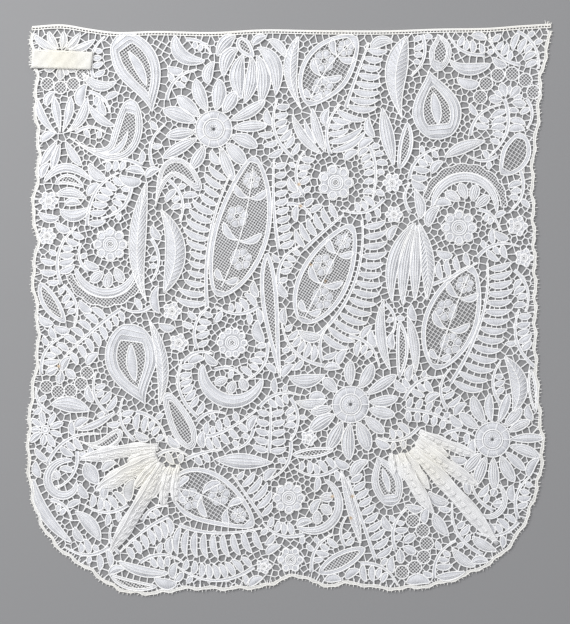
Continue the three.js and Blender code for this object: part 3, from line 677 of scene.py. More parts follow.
def age_by_place(tree: bpy.types.NodeTree, colour: Socket, cream: Colour) -> Socket:
    """Turn a colour to cream about the gathers, and to rust at a few specks.

    Args:
        tree: Node tree of the material.
        colour: The colour before that.
        cream: What it is multiplied by where it has aged most.

    Returns:
        The colour as it is seen.
    """
    place = add_node(tree, "ShaderNodeTexCoord").outputs["Object"]
    rust = [(x, y, RUST_REACH) for x, y in RUST]
    for spots, tint in ((AGED, cream), (rust, RUST_TINT)):
        most = None
        for x, y, reach in spots:
            middle = ((x + PLAN_SHIFT[0]) * MM, (y + PLAN_SHIFT[1]) * MM, 0.8 * MM)
            away = add_node(tree, "ShaderNodeVectorMath", {0: place, 1: middle}, operation="DISTANCE")
            limits = {"Value": away.outputs["Value"], "From Min": reach * MM, "From Max": 0.0}
            near = add_node(tree, "ShaderNodeMapRange", limits, interpolation_type="SMOOTHSTEP")
            share = near.outputs["Result"]
            if most is not None:
                greater = add_node(tree, "ShaderNodeMath", {0: most, 1: share}, operation="MAXIMUM")
                share = greater.outputs["Value"]
            most = share
        colours = {0: most, 6: colour, 7: (*tint, 1)}
        mix = add_node(tree, "ShaderNodeMix", colours, data_type="RGBA", blend_type="MULTIPLY")
        colour = mix.outputs[2]
    return colour


@dataclass(frozen=True)
class Finish:
    """A matt finish: a pattern shades it from one colour to another, and raises it.

    Attributes:
        name: Name of the material.
        low: Colour where the pattern is weak.
        high: Colour where it is strong.
    """

    name: str
    low: Colour
    high: Colour

    def pattern(self, tree: bpy.types.NodeTree) -> tuple[Socket, Socket]:
        """Return what shades the finish, and what raises it."""
        raise NotImplementedError

    def made(self, sheen: Sequence[float], stops: Spot, cream: Colour, bump: Spot) -> Material:
        """Make the material.

        Args:
            sheen: Roughness, sheen and the sheen's roughness.
            stops: Where the ramp has its two colours.
            cream: Tint of the places that have aged.
            bump: Strength and height of the relief.

        Returns:
            The material.
        """
        material = bpy.data.materials.new(self.name)
        material.use_nodes = True
        tree = material.node_tree
        shade, relief = self.pattern(tree)
        tint = add_node(tree, "ShaderNodeValToRGB", {"Fac": shade})
        for stop, place, colour in zip(tint.color_ramp.elements, stops, (self.low, self.high)):
            stop.position = place
            stop.color = (*colour, 1)
        strength, height = bump
        raised = {"Strength": strength, "Distance": height, "Height": relief}
        bumped = add_node(tree, "ShaderNodeBump", raised)
        shader = tree.nodes["Principled BSDF"]
        for name, value in zip(("Roughness", "Sheen Weight", "Sheen Roughness"), sheen):
            shader.inputs[name].default_value = value
        tree.links.new(age_by_place(tree, tint.outputs["Color"], cream), shader.inputs["Base Color"])
        tree.links.new(bumped.outputs["Normal"], shader.inputs["Normal"])
        return material


@dataclass(frozen=True)
class ThreadFinish(Finish):
    """Matt linen or cotton thread, twisted fine, with aged patches.

    Attributes:
        aged: Where on the ramp of patches the aged colour is full.
        grain: Twists in a metre, for the bump.
    """

    aged: float = 1.0
    grain: float = 1900.0

    def pattern(self, tree: bpy.types.NodeTree) -> tuple[Socket, Socket]:
        """Return what shades the thread, and what raises it."""
        place = add_node(tree, "ShaderNodeTexCoord").outputs["Object"]
        sizes = ((34.0, 5.0), (self.grain, 2.0))
        patches, fibre = (
            add_node(tree, "ShaderNodeTexNoise", {"Vector": place, "Scale": scale, "Detail": detail})
            for scale, detail in sizes
        )
        return patches.outputs["Fac"], fibre.outputs["Fac"]

    def material(self) -> Material:
        """Make the material."""
        return self.made((0.82, 0.25, 0.6), (0.42, self.aged), (1.0, 0.985, 0.93), (0.5, 0.15 * MM))


@dataclass(frozen=True)
class WovenFinish(Finish):
    """Cloth stitch: threads close together along the motif, others woven across them.

    Attributes:
        pitch: Distance between threads, in millimetres.
        relief: Strength of the weave's bump.
    """

    pitch: float = 0.75
    relief: float = 0.7

    def pattern(self, tree: bpy.types.NodeTree) -> tuple[Socket, Socket]:
        """Return what shades the weave, on the piece's own UV map, and what raises it."""
        chart = add_node(tree, "ShaderNodeUVMap", uv_map="weave").outputs["UV"]
        waves = {}
        for number, (direction, per_pitch) in enumerate((("X", 1.0), ("Y", 0.8))):
            scale = per_pitch / (self.pitch * MM) * 0.05 * 2 * math.pi
            inputs = {"Vector": chart, "Scale": scale, "Distortion": 1.2, "Detail": 1.0}
            wave = add_node(tree, "ShaderNodeTexWave", inputs, wave_type="BANDS", bands_direction=direction)
            waves[number] = wave.outputs["Fac"]
        weave = add_node(tree, "ShaderNodeMath", waves, operation="MAXIMUM").outputs["Value"]
        place = add_node(tree, "ShaderNodeTexCoord").outputs["Object"]
        uneven = add_node(tree, "ShaderNodeTexNoise", {"Vector": place, "Scale": 160.0, "Detail": 4.0})
        parts = {0: weave, 1: 0.45, 2: uneven.outputs["Fac"]}
        shade = add_node(tree, "ShaderNodeMath", parts, operation="MULTIPLY_ADD")
        return shade.outputs["Value"], weave

    def material(self) -> Material:
        """Make the material."""
        return self.made((0.85, 0.3, 0.5), (0.35, 0.95), (1.0, 0.98, 0.915), (self.relief, 0.2 * MM))


# Meshes and Geometry Nodes


def link(name: str, data: bpy.types.ID) -> Piece:
    """Make an object of some data, in the scene."""
    made = bpy.data.objects.new(name, data)
    bpy.context.scene.collection.objects.link(made)
    return made


def edge_mesh(name: str, places: Points, links: Points) -> bpy.types.Mesh:
    """Make a mesh of edges.

    Args:
        name: Name of the mesh.
        places: Its points in metres.
        links: Two point numbers for each edge.

    Returns:
        The mesh.
    """
    mesh = bpy.data.meshes.new(name)
    mesh.vertices.add(len(places))
    mesh.vertices.foreach_set("co", places.astype(np.float32).ravel())
    mesh.edges.add(len(links))
    mesh.edges.foreach_set("vertices", links.astype(np.int32).ravel())
    mesh.update()
    return mesh


def face_out(piece: Piece) -> Piece:
    """Turn the faces of a closed piece outwards, shade it smooth, and return it."""
    mesh = piece.data
    mesh.calc_loop_triangles()
    corners = np.empty(len(mesh.loop_triangles) * 3, np.int32)
    mesh.loop_triangles.foreach_get("vertices", corners)
    places = np.empty(len(mesh.vertices) * 3, np.float32)
    mesh.vertices.foreach_get("co", places)
    if volume_inside(places.reshape(-1, 3)[corners].reshape(-1, 3, 3)) < 0:
        mesh.flip_normals()
    mesh.polygons.foreach_set("use_smooth", [True] * len(mesh.polygons))
    return piece


def volume_inside(triangles: Points) -> float:
    """Return the volume inside some triangles, below zero where they face inwards."""
    a, b, c = triangles.transpose(1, 0, 2).astype(float)
    return float(np.einsum("ij,ij->i", a, np.cross(b, c)).sum() / 6)


def mesh_piece(name: str, places: Points, faces: Points, finish: Material, weave: Points) -> Piece:
    """Make a closed piece of triangles.

    Args:
        name: Name of the piece.
        places: Points in metres.
        faces: Three point numbers for each triangle.
        finish: Its material.
        weave: Where each point lies on the weave, in metres.

    Returns:
        The piece, smooth shaded.
    """
    mesh = bpy.data.meshes.new(name)
    mesh.vertices.add(len(places))
    mesh.vertices.foreach_set("co", places.astype(np.float32).ravel())
    mesh.loops.add(faces.size)
    mesh.loops.foreach_set("vertex_index", faces.astype(np.int32).ravel())
    mesh.polygons.add(len(faces))
    mesh.polygons.foreach_set("loop_start", np.arange(0, faces.size, 3, dtype=np.int32))
    mesh.update(calc_edges=True)
    chart = mesh.uv_layers.new(name="weave")
    chart.data.foreach_set("uv", weave[faces.ravel()].astype(np.float32).ravel())
    mesh.validate()
    mesh.materials.append(finish)
    return face_out(link(name, mesh))


def tube_faces(rows: int, side: int, closed: bool) -> Points:
    """Return the triangles of a tube, with a cap at each end unless it is closed.

    Args:
        rows: Number of its sections.
        side: Points in each section.
        closed: Whether the last section joins the first.

    Returns:
        Three point numbers for each triangle.
    """
    grid = np.arange(rows * side).reshape(rows, side)
    a, b = (grid, np.roll(grid, -1, axis=0)) if closed else (grid[:-1], grid[1:])
    quads = np.stack([a, b, np.roll(b, -1, axis=1), np.roll(a, -1, axis=1)], axis=-1).reshape(-1, 4)
    faces = [quads[:, :3], quads[:, [0, 2, 3]]]
    if not closed:
        cap = np.array([(0, i, i + 1) for i in range(1, side - 1)])
        faces += [grid[0][cap], grid[-1][cap][:, ::-1]]
    return np.vstack(faces)


class PathTree:
    """A node tree that works the edges of a mesh into a piece."""

    def __init__(self, name: str, sizes: dict[str, str]) -> None:
        """Start the tree with its inputs.

        Args:
            name: Name of the tree.
            sizes: Kind of socket for each size that is an input.
        """
        self.tree = bpy.data.node_groups.new(name, "GeometryNodeTree")
        face = self.tree.interface
        self.keys = {
            label: face.new_socket(label, in_out="INPUT", socket_type="NodeSocket" + kind).identifier
            for label, kind in {"Edges": "Geometry", **sizes, "Finish": "Material"}.items()
        }
        face.new_socket("Piece", in_out="OUTPUT", socket_type="NodeSocketGeometry")
        self.given = self.tree.nodes.new("NodeGroupInput").outputs

    def close(self, made: Socket) -> None:
        """End the tree: what was made becomes real geometry with its finish."""
        real = add_node(self.tree, "GeometryNodeRealizeInstances", {"Geometry": made})
        dressed = {"Geometry": real.outputs["Geometry"], "Material": self.given["Finish"]}
        dress = add_node(self.tree, "GeometryNodeSetMaterial", dressed)
        add_node(self.tree, "NodeGroupOutput", {"Piece": dress.outputs["Geometry"]})

    def work(self, name: str, edges: bpy.types.Mesh, values: dict[str, object]) -> Piece:
        """Work edges into a piece.

        Args:
            name: Name of the piece.
            edges: Mesh of edges.
            values: What each input of the tree is set to.

        Returns:
            A plain mesh object.
        """
        guide = link(name + "_guide", edges)
        modifier = guide.modifiers.new("work", "NODES")
        modifier.node_group = self.tree
        for label, value in values.items():
            modifier[self.keys[label]] = value
        graph = bpy.context.evaluated_depsgraph_get()
        mesh = bpy.data.meshes.new_from_object(guide.evaluated_get(graph))
        mesh.name = name
        guide.modifiers.remove(modifier)
        bpy.data.objects.remove(guide)
        return link(name, mesh)


class ThreadTree(PathTree):
    """A node tree that works round threads along edges, with the number of sides as an input."""

    RADIUS_FIELD = "thread_radius"

    def __init__(self) -> None:
        """Build the tree."""
        super().__init__("round_thread", {"Sides": "Int"})
        curve = add_node(self.tree, "GeometryNodeMeshToCurve", {"Mesh": self.given["Edges"]})
        section = {"Resolution": self.given["Sides"], "Radius": 1.0}
        profile = add_node(self.tree, "GeometryNodeCurvePrimitiveCircle", section)
        label = {"Name": self.RADIUS_FIELD}
        radius = add_node(self.tree, "GeometryNodeInputNamedAttribute", label, data_type="FLOAT")
        sweep = {
            "Curve": curve.outputs["Curve"],
            "Profile Curve": profile.outputs["Curve"],
            "Scale": radius.outputs["Attribute"],
            "Fill Caps": True,
        }
        self.close(add_node(self.tree, "GeometryNodeCurveToMesh", sweep).outputs["Mesh"])


class PicotTree(PathTree):
    """A node tree that stands small thorns of thread along edges, on the right of their run."""

    def __init__(self) -> None:
        """Build the tree, with the picots' spacing, length, thickness and seed as inputs."""
        sizes = dict.fromkeys(("Spacing", "Length", "Thickness"), "Float")
        super().__init__("picots", {**sizes, "Seed": "Int"})
        tree, given = self.tree, self.given
        curve = add_node(tree, "GeometryNodeMeshToCurve", {"Mesh": given["Edges"]})
        spaced = {"Curve": curve.outputs["Curve"], "Length": given["Spacing"]}
        spots = add_node(tree, "GeometryNodeCurveToPoints", spaced, mode="LENGTH")
        thorn = {"Vertices": 5, "Radius Top": 0.12 * MM, "Radius Bottom": given["Thickness"]}
        cone = add_node(tree, "GeometryNodeMeshCone", {**thorn, "Depth": given["Length"]})
        across = {0: spots.outputs["Tangent"], 1: (0, 0, 1)}
        outward = add_node(tree, "ShaderNodeVectorMath", across, operation="CROSS_PRODUCT")
        lean = {"Min": (-0.35, -0.35, -0.1), "Max": (0.35, 0.35, 0.12), "Seed": given["Seed"]}
        sway = add_node(tree, "FunctionNodeRandomValue", lean, data_type="FLOAT_VECTOR")
        leaning = add_node(tree, "ShaderNodeVectorMath", {0: outward.outputs[0], 1: sway.outputs[0]})
        upright = add_node(
            tree, "FunctionNodeAlignRotationToVector", {"Vector": leaning.outputs["Vector"]}, axis="Z"
        )
        growth = {"Min": 0.55, "Max": 1.15, "Seed": given["Seed"]}
        size = add_node(tree, "FunctionNodeRandomValue", growth, data_type="FLOAT")
        stand = {
            "Points": spots.outputs["Points"],
            "Instance": cone.outputs["Mesh"],
            "Rotation": upright.outputs["Rotation"],
            "Scale": size.outputs[1],
        }
        self.close(add_node(tree, "GeometryNodeInstanceOnPoints", stand).outputs["Instances"])


@dataclass
class Threads:
    """Threads of one piece, gathered before they are worked.

    Attributes:
        name: Name of the piece.
        sides: Sides of a thread's round section.
    """

    name: str
    sides: int = 4
    places: list[Points] = field(default_factory=list)
    links: list[Points] = field(default_factory=list)
    radii: list[Points] = field(default_factory=list)
    count: int = 0

    def lay(self, path: Points, radius: float, height: float | Points = 0.0, closed: bool = False) -> None:
        """Lay a thread.

        Args:
            path: Its points on the plan, or in space with their heights above the table.
            radius: Half its thickness.
            height: How far its middle lies above the resting lace, for points on the plan.
            closed: Whether it returns to its start.
        """
        flat = path[:, :2]
        z = path[:, 2] if path.shape[1] == 3 else lift(flat) + height
        self.places.append(np.column_stack([flat + PLAN_SHIFT, z]))
        order = self.count + np.arange(len(path))
        joined = np.column_stack([order, np.roll(order, -1)])
        self.links.append(joined if closed else joined[:-1])
        self.radii.append(np.full(len(path), radius))
        self.count += len(path)

    def loop(self, ring: Points, step: float, radius: float, height: float) -> None:
        """Lay a closed thread along a ring, its points a step apart."""
        self.lay(resample(ring, step, closed=True), radius, height, closed=True)

    def work(self, tree: ThreadTree, finish: Material) -> Piece:
        """Work all threads laid so far into one piece."""
        edges = edge_mesh(self.name + "_paths", np.vstack(self.places) * MM, np.vstack(self.links))
        thick = edges.attributes.new(ThreadTree.RADIUS_FIELD, "FLOAT", "POINT")
        thick.data.foreach_set("value", (np.concatenate(self.radii) * MM).astype(np.float32))
        return face_out(tree.work(self.name, edges, {"Sides": self.sides, "Finish": finish}))


@dataclass
class Shells:
    """Closed shells of one piece, gathered before they become a mesh."""

    name: str
    places: list[Points] = field(default_factory=list)
    faces: list[Points] = field(default_factory=list)
    weave: list[Points] = field(default_factory=list)
    count: int = 0

    def add(self, sections: Points, across: Points, along: Points, closed: bool = False) -> None:
        """Add a tube with its faces outwards.

        Args:
            sections: Rows of points in space.
            across: How far across the weave each point lies.
            along: How far along the weave each section lies.
            closed: Whether the last section joins the first.
        """
        rows, side = sections.shape[:2]
        places = sections.reshape(-1, 3) + (*PLAN_SHIFT, 0)
        faces = tube_faces(rows, side, closed)
        if volume_inside(places[faces]) < 0:
            faces = faces[:, ::-1]
        self.places.append(places)
        self.faces.append(faces + self.count)
        self.weave.append(np.column_stack([across.ravel(), np.repeat(along, side)]))
        self.count += len(places)

    def work(self, finish: Material) -> Piece:
        """Work all shells added so far into one piece."""
        places, weave = np.vstack(self.places) * MM, np.vstack(self.weave) * MM
        return mesh_piece(self.name, places, np.vstack(self.faces), finish, weave)


@dataclass
class Cloth(Shells):
    """Strips of close cloth stitch, each a thin domed shell between two edges.

    Attributes:
        base: Height of its underside above the resting lace.
        thick: Thickness at its edges.
        dome: How much higher it stands in the middle.
    """

    base: float = 0.28
    thick: float = 0.3
    dome: float = 0.22

    # Its section: places across it, and heights as shares of its thickness
    ACROSS = np.array([0.0, 0.0, 0.5, 1.0, 1.0])
    UP = np.array([0.0, 0.6, 1.0, 0.6, 0.0])

    def lay(self, left: Points, right: Points, closed: bool = False) -> None:
        """Lay a strip between two edges.

        Args:
            left: One edge.
            right: The other edge, with the same number of points.
            closed: Whether the strip returns to its start.
        """
        ring = left[:, None] * (1 - self.ACROSS)[:, None] + right[:, None] * self.ACROSS[:, None]
        width = np.linalg.norm(left - right, axis=1)[:, None]
        crown = self.dome * np.clip(width / 3, 0.25, 1)
        rest = lift(ring.reshape(-1, 2)).reshape(ring.shape[:2])
        z = rest + (self.base + (self.thick + crown) * self.UP)
        self.add(np.dstack([ring, z]), self.ACROSS * width, covered((left + right) / 2), closed)


# The lace


@dataclass(frozen=True)
class Pleat(Bend):
    """A fold of doubled lace from its gather to the hem, where it dies away.

    Attributes:
        width: Its full width.
        height: How high its crest stands.
    """

    width: float
    height: float

    SECTIONS = 26
    BASE = 0.4  # height of its foot
    ARCHED = 1.8  # least height of a fold that also has arches
    ARCH_PITCH = 4.6
    ARCH_LENGTH = 3.6
    GIMP_LIFT = 0.12  # how far a gimp's middle lies above the fold
    # Its section from the gentle side to the fold: places across it, and shares of its crest
    ACROSS = np.array([-1.0, -1.0, -0.7, -0.35, 0.05, 0.45, 0.8, 0.97, 1.0, 0.86])
    UP = np.array([0.0, 0.14, 0.3, 0.48, 0.68, 0.86, 1.0, 0.86, 0.5, 0.0])

    def swell(self, t: Points) -> Points:
        """Return how full it is at shares of its run."""
        return (0.5 + 0.5 * smoothstep(t, 0, 0.4)) * (1 - 0.65 * smoothstep(t, 0.72, 1.08))

    def foot(self) -> Points:
        """Return the closed outline on the plan of what it covers."""
        t = self.shares(0, 0.8, 2.0, 6)
        line = self.at(t)
        out = normals(line) * (self.width / 2 * self.swell(t))[:, None]
        return np.vstack([line + out, (line - out)[::-1]])

    def on(self, t: Points, across: Points, up: Points) -> Points:
        """Return points in space on the fold, which lies to the outer side of the panel.

        Args:
            t: Shares of its run.
            across: Places across it, from -1 to 1 at the fold, the same or a row for each share.
            up: Heights as shares of its crest, in the same way.

        Returns:
            A row of points for each share.
        """
        line = self.at(t)
        out = normals(line) * math.copysign(1, self.root[0])
        taper = 1 - 0.8 * smoothstep(t, 0.86, 1)
        half = self.width / 2 * self.swell(t) * (0.4 + 0.6 * taper)
        ring = line[:, None] + out[:, None] * (half[:, None] * across)[..., None]
        ripple = 1 + 0.06 * np.sin(t * 19 + self.root[0])[:, None] * (across * 2.2)
        z = self.BASE + (self.height * self.swell(t) * taper)[:, None] * up * ripple
        return np.dstack([ring, z])

    def lay_fold(self, folds: Shells) -> None:
        """Add the fold to a piece."""
        t = np.linspace(0, 1, self.SECTIONS)
        across = (self.width / 2 * self.swell(t))[:, None] * self.ACROSS
        folds.add(self.on(t, self.ACROSS, self.UP), across, t * self.length())

    def lay_over(self, threads: Threads, t: Points, across: Points, radius: float) -> None:
        """Lay a thread over the fold, at shares of its run and places across it."""
        up = np.interp(across, self.ACROSS[1:9], self.UP[1:9])
        threads.lay(self.on(t, across[:, None], up[:, None])[:, 0] + (0, 0, self.GIMP_LIFT), radius)

    def lay_gimps(self, threads: Threads) -> None:
        """Lay the gimps of the folded motifs: lines along the fold, and small arches if it is high."""
        t = np.linspace(0.02, 0.97, 24)
        for place, radius in ((-0.9, 0.26), (-0.2, 0.26), (0.55, 0.26), (0.97, 0.4)):
            self.lay_over(threads, t, place + 0.09 * np.sin(t * 17 + place * 9), radius)
        if self.height < self.ARCHED:
            return
        bow = np.linspace(0, 1, 7)
        for start in np.arange(0.06, 0.88, self.ARCH_PITCH / self.length()):
            run = start + self.ARCH_LENGTH / self.length() * np.sin(np.pi * bow)
            for low, high in ((-0.86, -0.2), (-0.1, 0.52)):
                self.lay_over(threads, run, low + (high - low) * bow, 0.28)


# Short gathers, then the main pleats, each from its gather down to the hem
PLEATS = (
    Pleat((-79.5, -85.5), (-88, -88), (-97, -91), 5, 1.5),
    Pleat((-78, -91), (-85, -98), (-92, -107), 5.5, 1.7),
    Pleat((-73.5, -94.5), (-78, -104), (-83, -114), 5, 1.5),
    Pleat((-68.5, -95), (-70.5, -102), (-71.5, -110), 4, 1.2),
    Pleat((64, -87), (66, -94), (69.5, -102), 4, 1.3), Pleat((70, -86), (77, -97), (84, -108), 5.5, 1.6),
    Pleat((75.5, -82), (84.5, -91), (93, -99), 5, 1.6), Pleat((78, -76), (87, -83), (96, -88), 4.5, 1.4),
    Pleat((-78, -82.5), (-99, -85), (-126, -90), 8, 1.9),
    Pleat((-79, -88), (-96, -97), (-116, -109), 10, 2.0),
    Pleat((-76, -92), (-90, -118), (-108, -147), 8.5, 3.4),
    Pleat((-71, -94), (-74, -106), (-75.5, -119), 5, 2.4),
    Pleat((-66, -93), (-68, -105), (-68, -117), 4.5, 2.0), Pleat((61, -86), (61.5, -92), (63, -99), 3.5, 1.6),
    Pleat((67, -86), (74, -103), (87, -123), 7.5, 2.6), Pleat((73, -84), (98, -109), (125, -141), 9, 3.4),
    Pleat((76, -79), (94, -93), (114, -106), 7.5, 2.3), Pleat((78, -73), (95, -81), (114, -88), 6, 1.8),
)


class Pleats:
    """The pleats in the two lower corners."""

    def build(self, tree: ThreadTree, cloth: Material, gimp: Material) -> list[Piece]:
        """Work all folds into one piece, and their gimps into another.

        Args:
            tree: Node tree that works threads.
            cloth: Material of the folds.
            gimp: Material of the gimps on them.

        Returns:
            The folds, then the gimps.
        """
        folds, gimps = Shells("pleats"), Threads("pleat_gimps")
        for pleat in PLEATS:
            pleat.lay_fold(folds)
            pleat.lay_gimps(gimps)
        pieces = [folds.work(cloth), gimps.work(tree, gimp)]
        return pieces


@dataclass
class LacePanel:
    """The lace panel: its motifs, their gimp, the nets and the ground of brides.

    Attributes:
        bride: Least distance between two fronds.
        gimp: Half the thickness of the thread round a motif.
        vein: Half the thickness of a vein.
        cord: Half the thickness of the other threads on a motif, and of the footing's.
        net: Half the thickness of a net's thread.
        step: Distance between points along a motif.
        gimp_height: Height of a gimp's middle above the resting lace.
        vein_height: Height of a vein's middle.
        net_height: Height of a net's middle.
        bride_height: Height of a bride's middle.
        net_pitch: Distance between the threads of a net.
        open_pitch: The same in an open net.
        frond_pitch: Distance between the fronds of a fern.
        frond_width: Width of the longest fronds.
        spray_reach: Length of the fronds of a fern that fills a space.
        shrinks: Shares of its size at which a motif is tried.
    """

    bride: float = 0.6
    gimp: float = 0.4
    vein: float = 0.28
    cord: float = 0.3
    net: float = 0.24
    step: float = 1.7
    gimp_height: float = 0.72
    vein_height: float = 0.84
    net_height: float = 0.46
    bride_height: float = 0.42
    net_pitch: float = 1.5
    open_pitch: float = 2.1
    frond_pitch: float = 5.5
    frond_width: float = 3.9
    spray_reach: float = 12.0
    shrinks: tuple[float, ...] = (1, 0.94, 0.88, 0.82, 0.76, 0.7, 0.62, 0.54)

    HEM_STEP = 2.0
    SCALLOP = 17  # length of a scallop of the hem
    TOP_DROP = 3.0  # the heading covers what is above
    NET_SHARES = (0.12, 0.42, 0.72)  # where pairs of leaves leave the stem on a large net
    NET_FLOWERS = ((0.3, -1), (0.58, 1), (0.84, 0))  # where flowers lie by it, and on which side
    NET_STEP = 7  # distance between points of a net's thread
    LEAST_NET = 0.8  # shortest thread of a net
    DEPTHS = (5.6, 4.8, 4, 3.2)  # depths at which a band of net is tried
    FROND_SHARES = (1, 0.9, 0.8, 0.7, 0.6, 0.5, 0.4, 0.3)  # shares of its length at which a frond is tried
    LEAST_FROND = 5
    STEM_WIDTH = 2.6  # room that the stem of a fern needs where it fills a space
    LEAST_GAP = 1.75  # radius of the smallest gap between brides
    MOST_GAP = 3.6  # radius of the largest one
    TUCK = 0.55  # length of a bride's end under a motif
    OVERLAP = 0.12  # length of its end past another bride
    FOOTING = 1.7  # width of the footing

    def __post_init__(self) -> None:
        """Draw the outline with its scalloped hem, and start the plan and the pieces."""
        hem = resample(catmull_rom(OUTLINE), self.HEM_STEP)
        along = np.arange(len(hem)) * self.HEM_STEP
        scallops = np.abs(np.sin(np.pi * along / self.SCALLOP + 1.3 * np.sin(along / 60)))
        hem = hem + (0.9 - 1.5 * scallops)[:, None] * normals(hem)
        self.hem = hem[hem[:, 1] < OUTLINE[-1][1] - 3.5]
        top = catmull_rom(TOP_EDGE) - (0, self.TOP_DROP)
        self.plan = Plan(np.vstack([self.hem, top[::-1]]))
        self.random = np.random.default_rng(SEED)
        self.middles: list[Points] = []
        self.cloth = Cloth("lace_cloth")
        self.edge_cloth = Cloth("footing_cloth")
        self.gimps = Threads("gimp_of_leaves")
        self.fern_gimps = Threads("gimp_of_ferns")
        self.veins = Threads("veins", 3)
        self.nets = Threads("nets", 3)
        self.brides = Threads("brides")
        self.edge_threads = Threads("footing_cords")

    def lay_rim(self, ring: Points, threads: Threads | None = None) -> None:
        """Lay a gimp round a closed ring."""
        (threads or self.gimps).loop(ring, self.step, self.gimp, self.gimp_height)

    def fit(self, blade: Blade, allowed: float, lay: Callable[[Blade], None], rooted: bool = False) -> bool:
        """Shrink a blade until it clears its neighbours, and lay it.

        Args:
            blade: The blade as drawn.
            allowed: Share of it that may still meet something.
            lay: What lays it.
            rooted: Whether it keeps its root, and only grows shorter.

        Returns:
            Whether there was room.
        """
        for share in self.shrinks:
            smaller = blade.shrunk(share, rooted)
            if self.plan.is_clear(smaller.ring(2.0), allowed):
                lay(smaller)
                return True
        return False

    def lay_net(self, ring: Points, pitch: float, turn: float = 0.0) -> None:
        """Lay a net of crossing threads inside a ring.

        Args:
            ring: A closed outline.
            pitch: Distance between two threads.
            turn: Direction of the first threads, in degrees, added to their half right angle.
        """
        for degrees in (45 + turn, 135 + turn):
            angle = math.radians(degrees)
            along = np.array([math.cos(angle), math.sin(angle)])
            off = np.array([-along[1], along[0]])
            reach, run = ring @ off, ring @ along
            next_reach, next_run = np.roll(reach, -1), np.roll(run, -1)
            first, last = math.ceil(reach.min() / pitch), math.floor(reach.max() / pitch)
            for level in np.arange(first, last + 1) * pitch:
                hit = (reach > level) != (next_reach > level)
                share = (level - reach[hit]) / (next_reach[hit] - reach[hit])
                cuts = np.sort(run[hit] + share * (next_run[hit] - run[hit]))
                for start, end in zip(cuts[::2], cuts[1::2]):
                    if end - start >= self.LEAST_NET:
                        where = np.linspace(start, end, max(round((end - start) / self.NET_STEP), 1) + 1)
                        self.nets.lay(level * off + where[:, None] * along, self.net, self.net_height)

    def lay_leaf(self, blade: Blade, small: bool = False, vein: bool = True) -> None:
        """Lay a plain leaf of cloth stitch with its gimp and veins.

        Args:
            blade: Its shape.
            small: Whether it is a frond, or fills a small space.
            vein: Whether it has veins.
        """
        left, right = blade.edges(self.step, 0.1)
        self.cloth.lay(left, right)
        self.middles.append(((left + right) / 2)[::3])
        ring = blade.ring(self.step)
        self.lay_rim(ring, self.fern_gimps if small else None)
        if vein and blade.width > 3.6:
            t = blade.course.shares(0.08, 0.88, 3)
            for share in (0.0,) if blade.width < 5.5 else (-0.42, 0.0, 0.42):
                self.veins.lay(blade.beside(t, share), self.vein, self.vein_height + 0.06)
        if blade.width > 6.5:
            self.plan.keep_ground(ring, 2.0)
        self.plan.take(ring)

    def lay_feather(self, blade: Blade) -> None:
        """Lay a long feather: cloth stitch with a strong midrib and slanting side veins."""
        self.lay_leaf(blade, vein=False)
        course = blade.course
        self.gimps.lay(course.at(course.shares(0.02, 0.97, 2.5, 4)), self.cord, self.vein_height + 0.08)
        for share in course.shares(0.08, 0.88, 3.2):
            root, _, off = course.stand(share)
            ahead, reach = course.stand(share + 0.09)[0], blade.half_at(share + 0.09)
            for side in (1, -1):
                end = ahead + side * off * 0.86 * reach
                barb = np.vstack([root, (root + end) / 2 + side * off * 0.2, end])
                self.veins.lay(barb, self.cord, self.vein_height + 0.1)

    def lay_horn(self, blade: Blade) -> None:
        """Lay a crook: cloth stitch with two lines along it."""
        self.lay_leaf(blade, vein=False)
        for share in (0.3, -0.3):
            line = blade.beside(blade.course.shares(0.08, 0.92, 2.5, 4), share)
            self.veins.lay(line, self.cord, self.vein_height)

    def lay_border(self, outer: Points, inner: Points) -> None:
        """Lay a border of cloth stitch between two rings, with a gimp along each."""
        self.cloth.lay(outer, inner, closed=True)
        self.lay_rim(outer)
        self.lay_rim(inner)

    def lay_net_leaf(self, blade: Blade, pitch: float) -> None:
        """Lay a leaf of net inside a border of cloth stitch."""
        outer = blade.ring(self.step)
        inner = blade.ring(self.step, min(2.3, 0.2 * blade.width))
        self.lay_border(outer, inner)
        self.lay_net(inner, pitch, 12.0)
        if blade.width > 20:
            self.lay_spray_on_net(blade)
            self.plan.keep_ground(outer, 3.0)
        self.plan.take(outer)

    def lay_spray_on_net(self, blade: Blade) -> None:
        """Lay a stem over the net of a large leaf, with pairs of leaves and flowers in turn."""
        self.gimps.lay(blade.course.at(np.linspace(0.07, 0.93, 24)), 0.38, self.gimp_height)
        for share in self.NET_SHARES:
            root, along, off = blade.course.stand(share)
            reach = 0.72 * blade.half_at(share)
            for side in (1, -1):
                tip = root + side * reach * off + 0.7 * reach * along
                bend = root + side * 0.62 * reach * off + 0.16 * reach * along
                self.lay_leaf(Blade(Bend(root, bend, tip), 4.2, 0.6), vein=False)
        for share, side in self.NET_FLOWERS:
            at, _, off = blade.course.stand(share)
            half = blade.half_at(share)
            self.lay_sprig(at + side * 0.3 * half * off, min(0.42 * half + 0.6, 6))

    def lay_sprig(self, centre: Points, radius: float) -> None:
        """Lay a small flower on a net: six petals round a ring."""
        for turn in np.arange(6) * 60 + 12:
            ends = on_circle(centre, np.array([0.3, 0.7, 1.1]) * radius, turn)
            blade = Blade(Bend(*ends), 0.86 * radius, 0.62, 0.6)
            self.cloth.lay(*blade.edges(1.2, 0.1))
            self.gimps.loop(blade.ring(1.2), 1.4, self.net, self.vein_height)
        self.gimps.lay(circle(centre, 0.3 * radius, 10), self.cord, self.vein_height, closed=True)

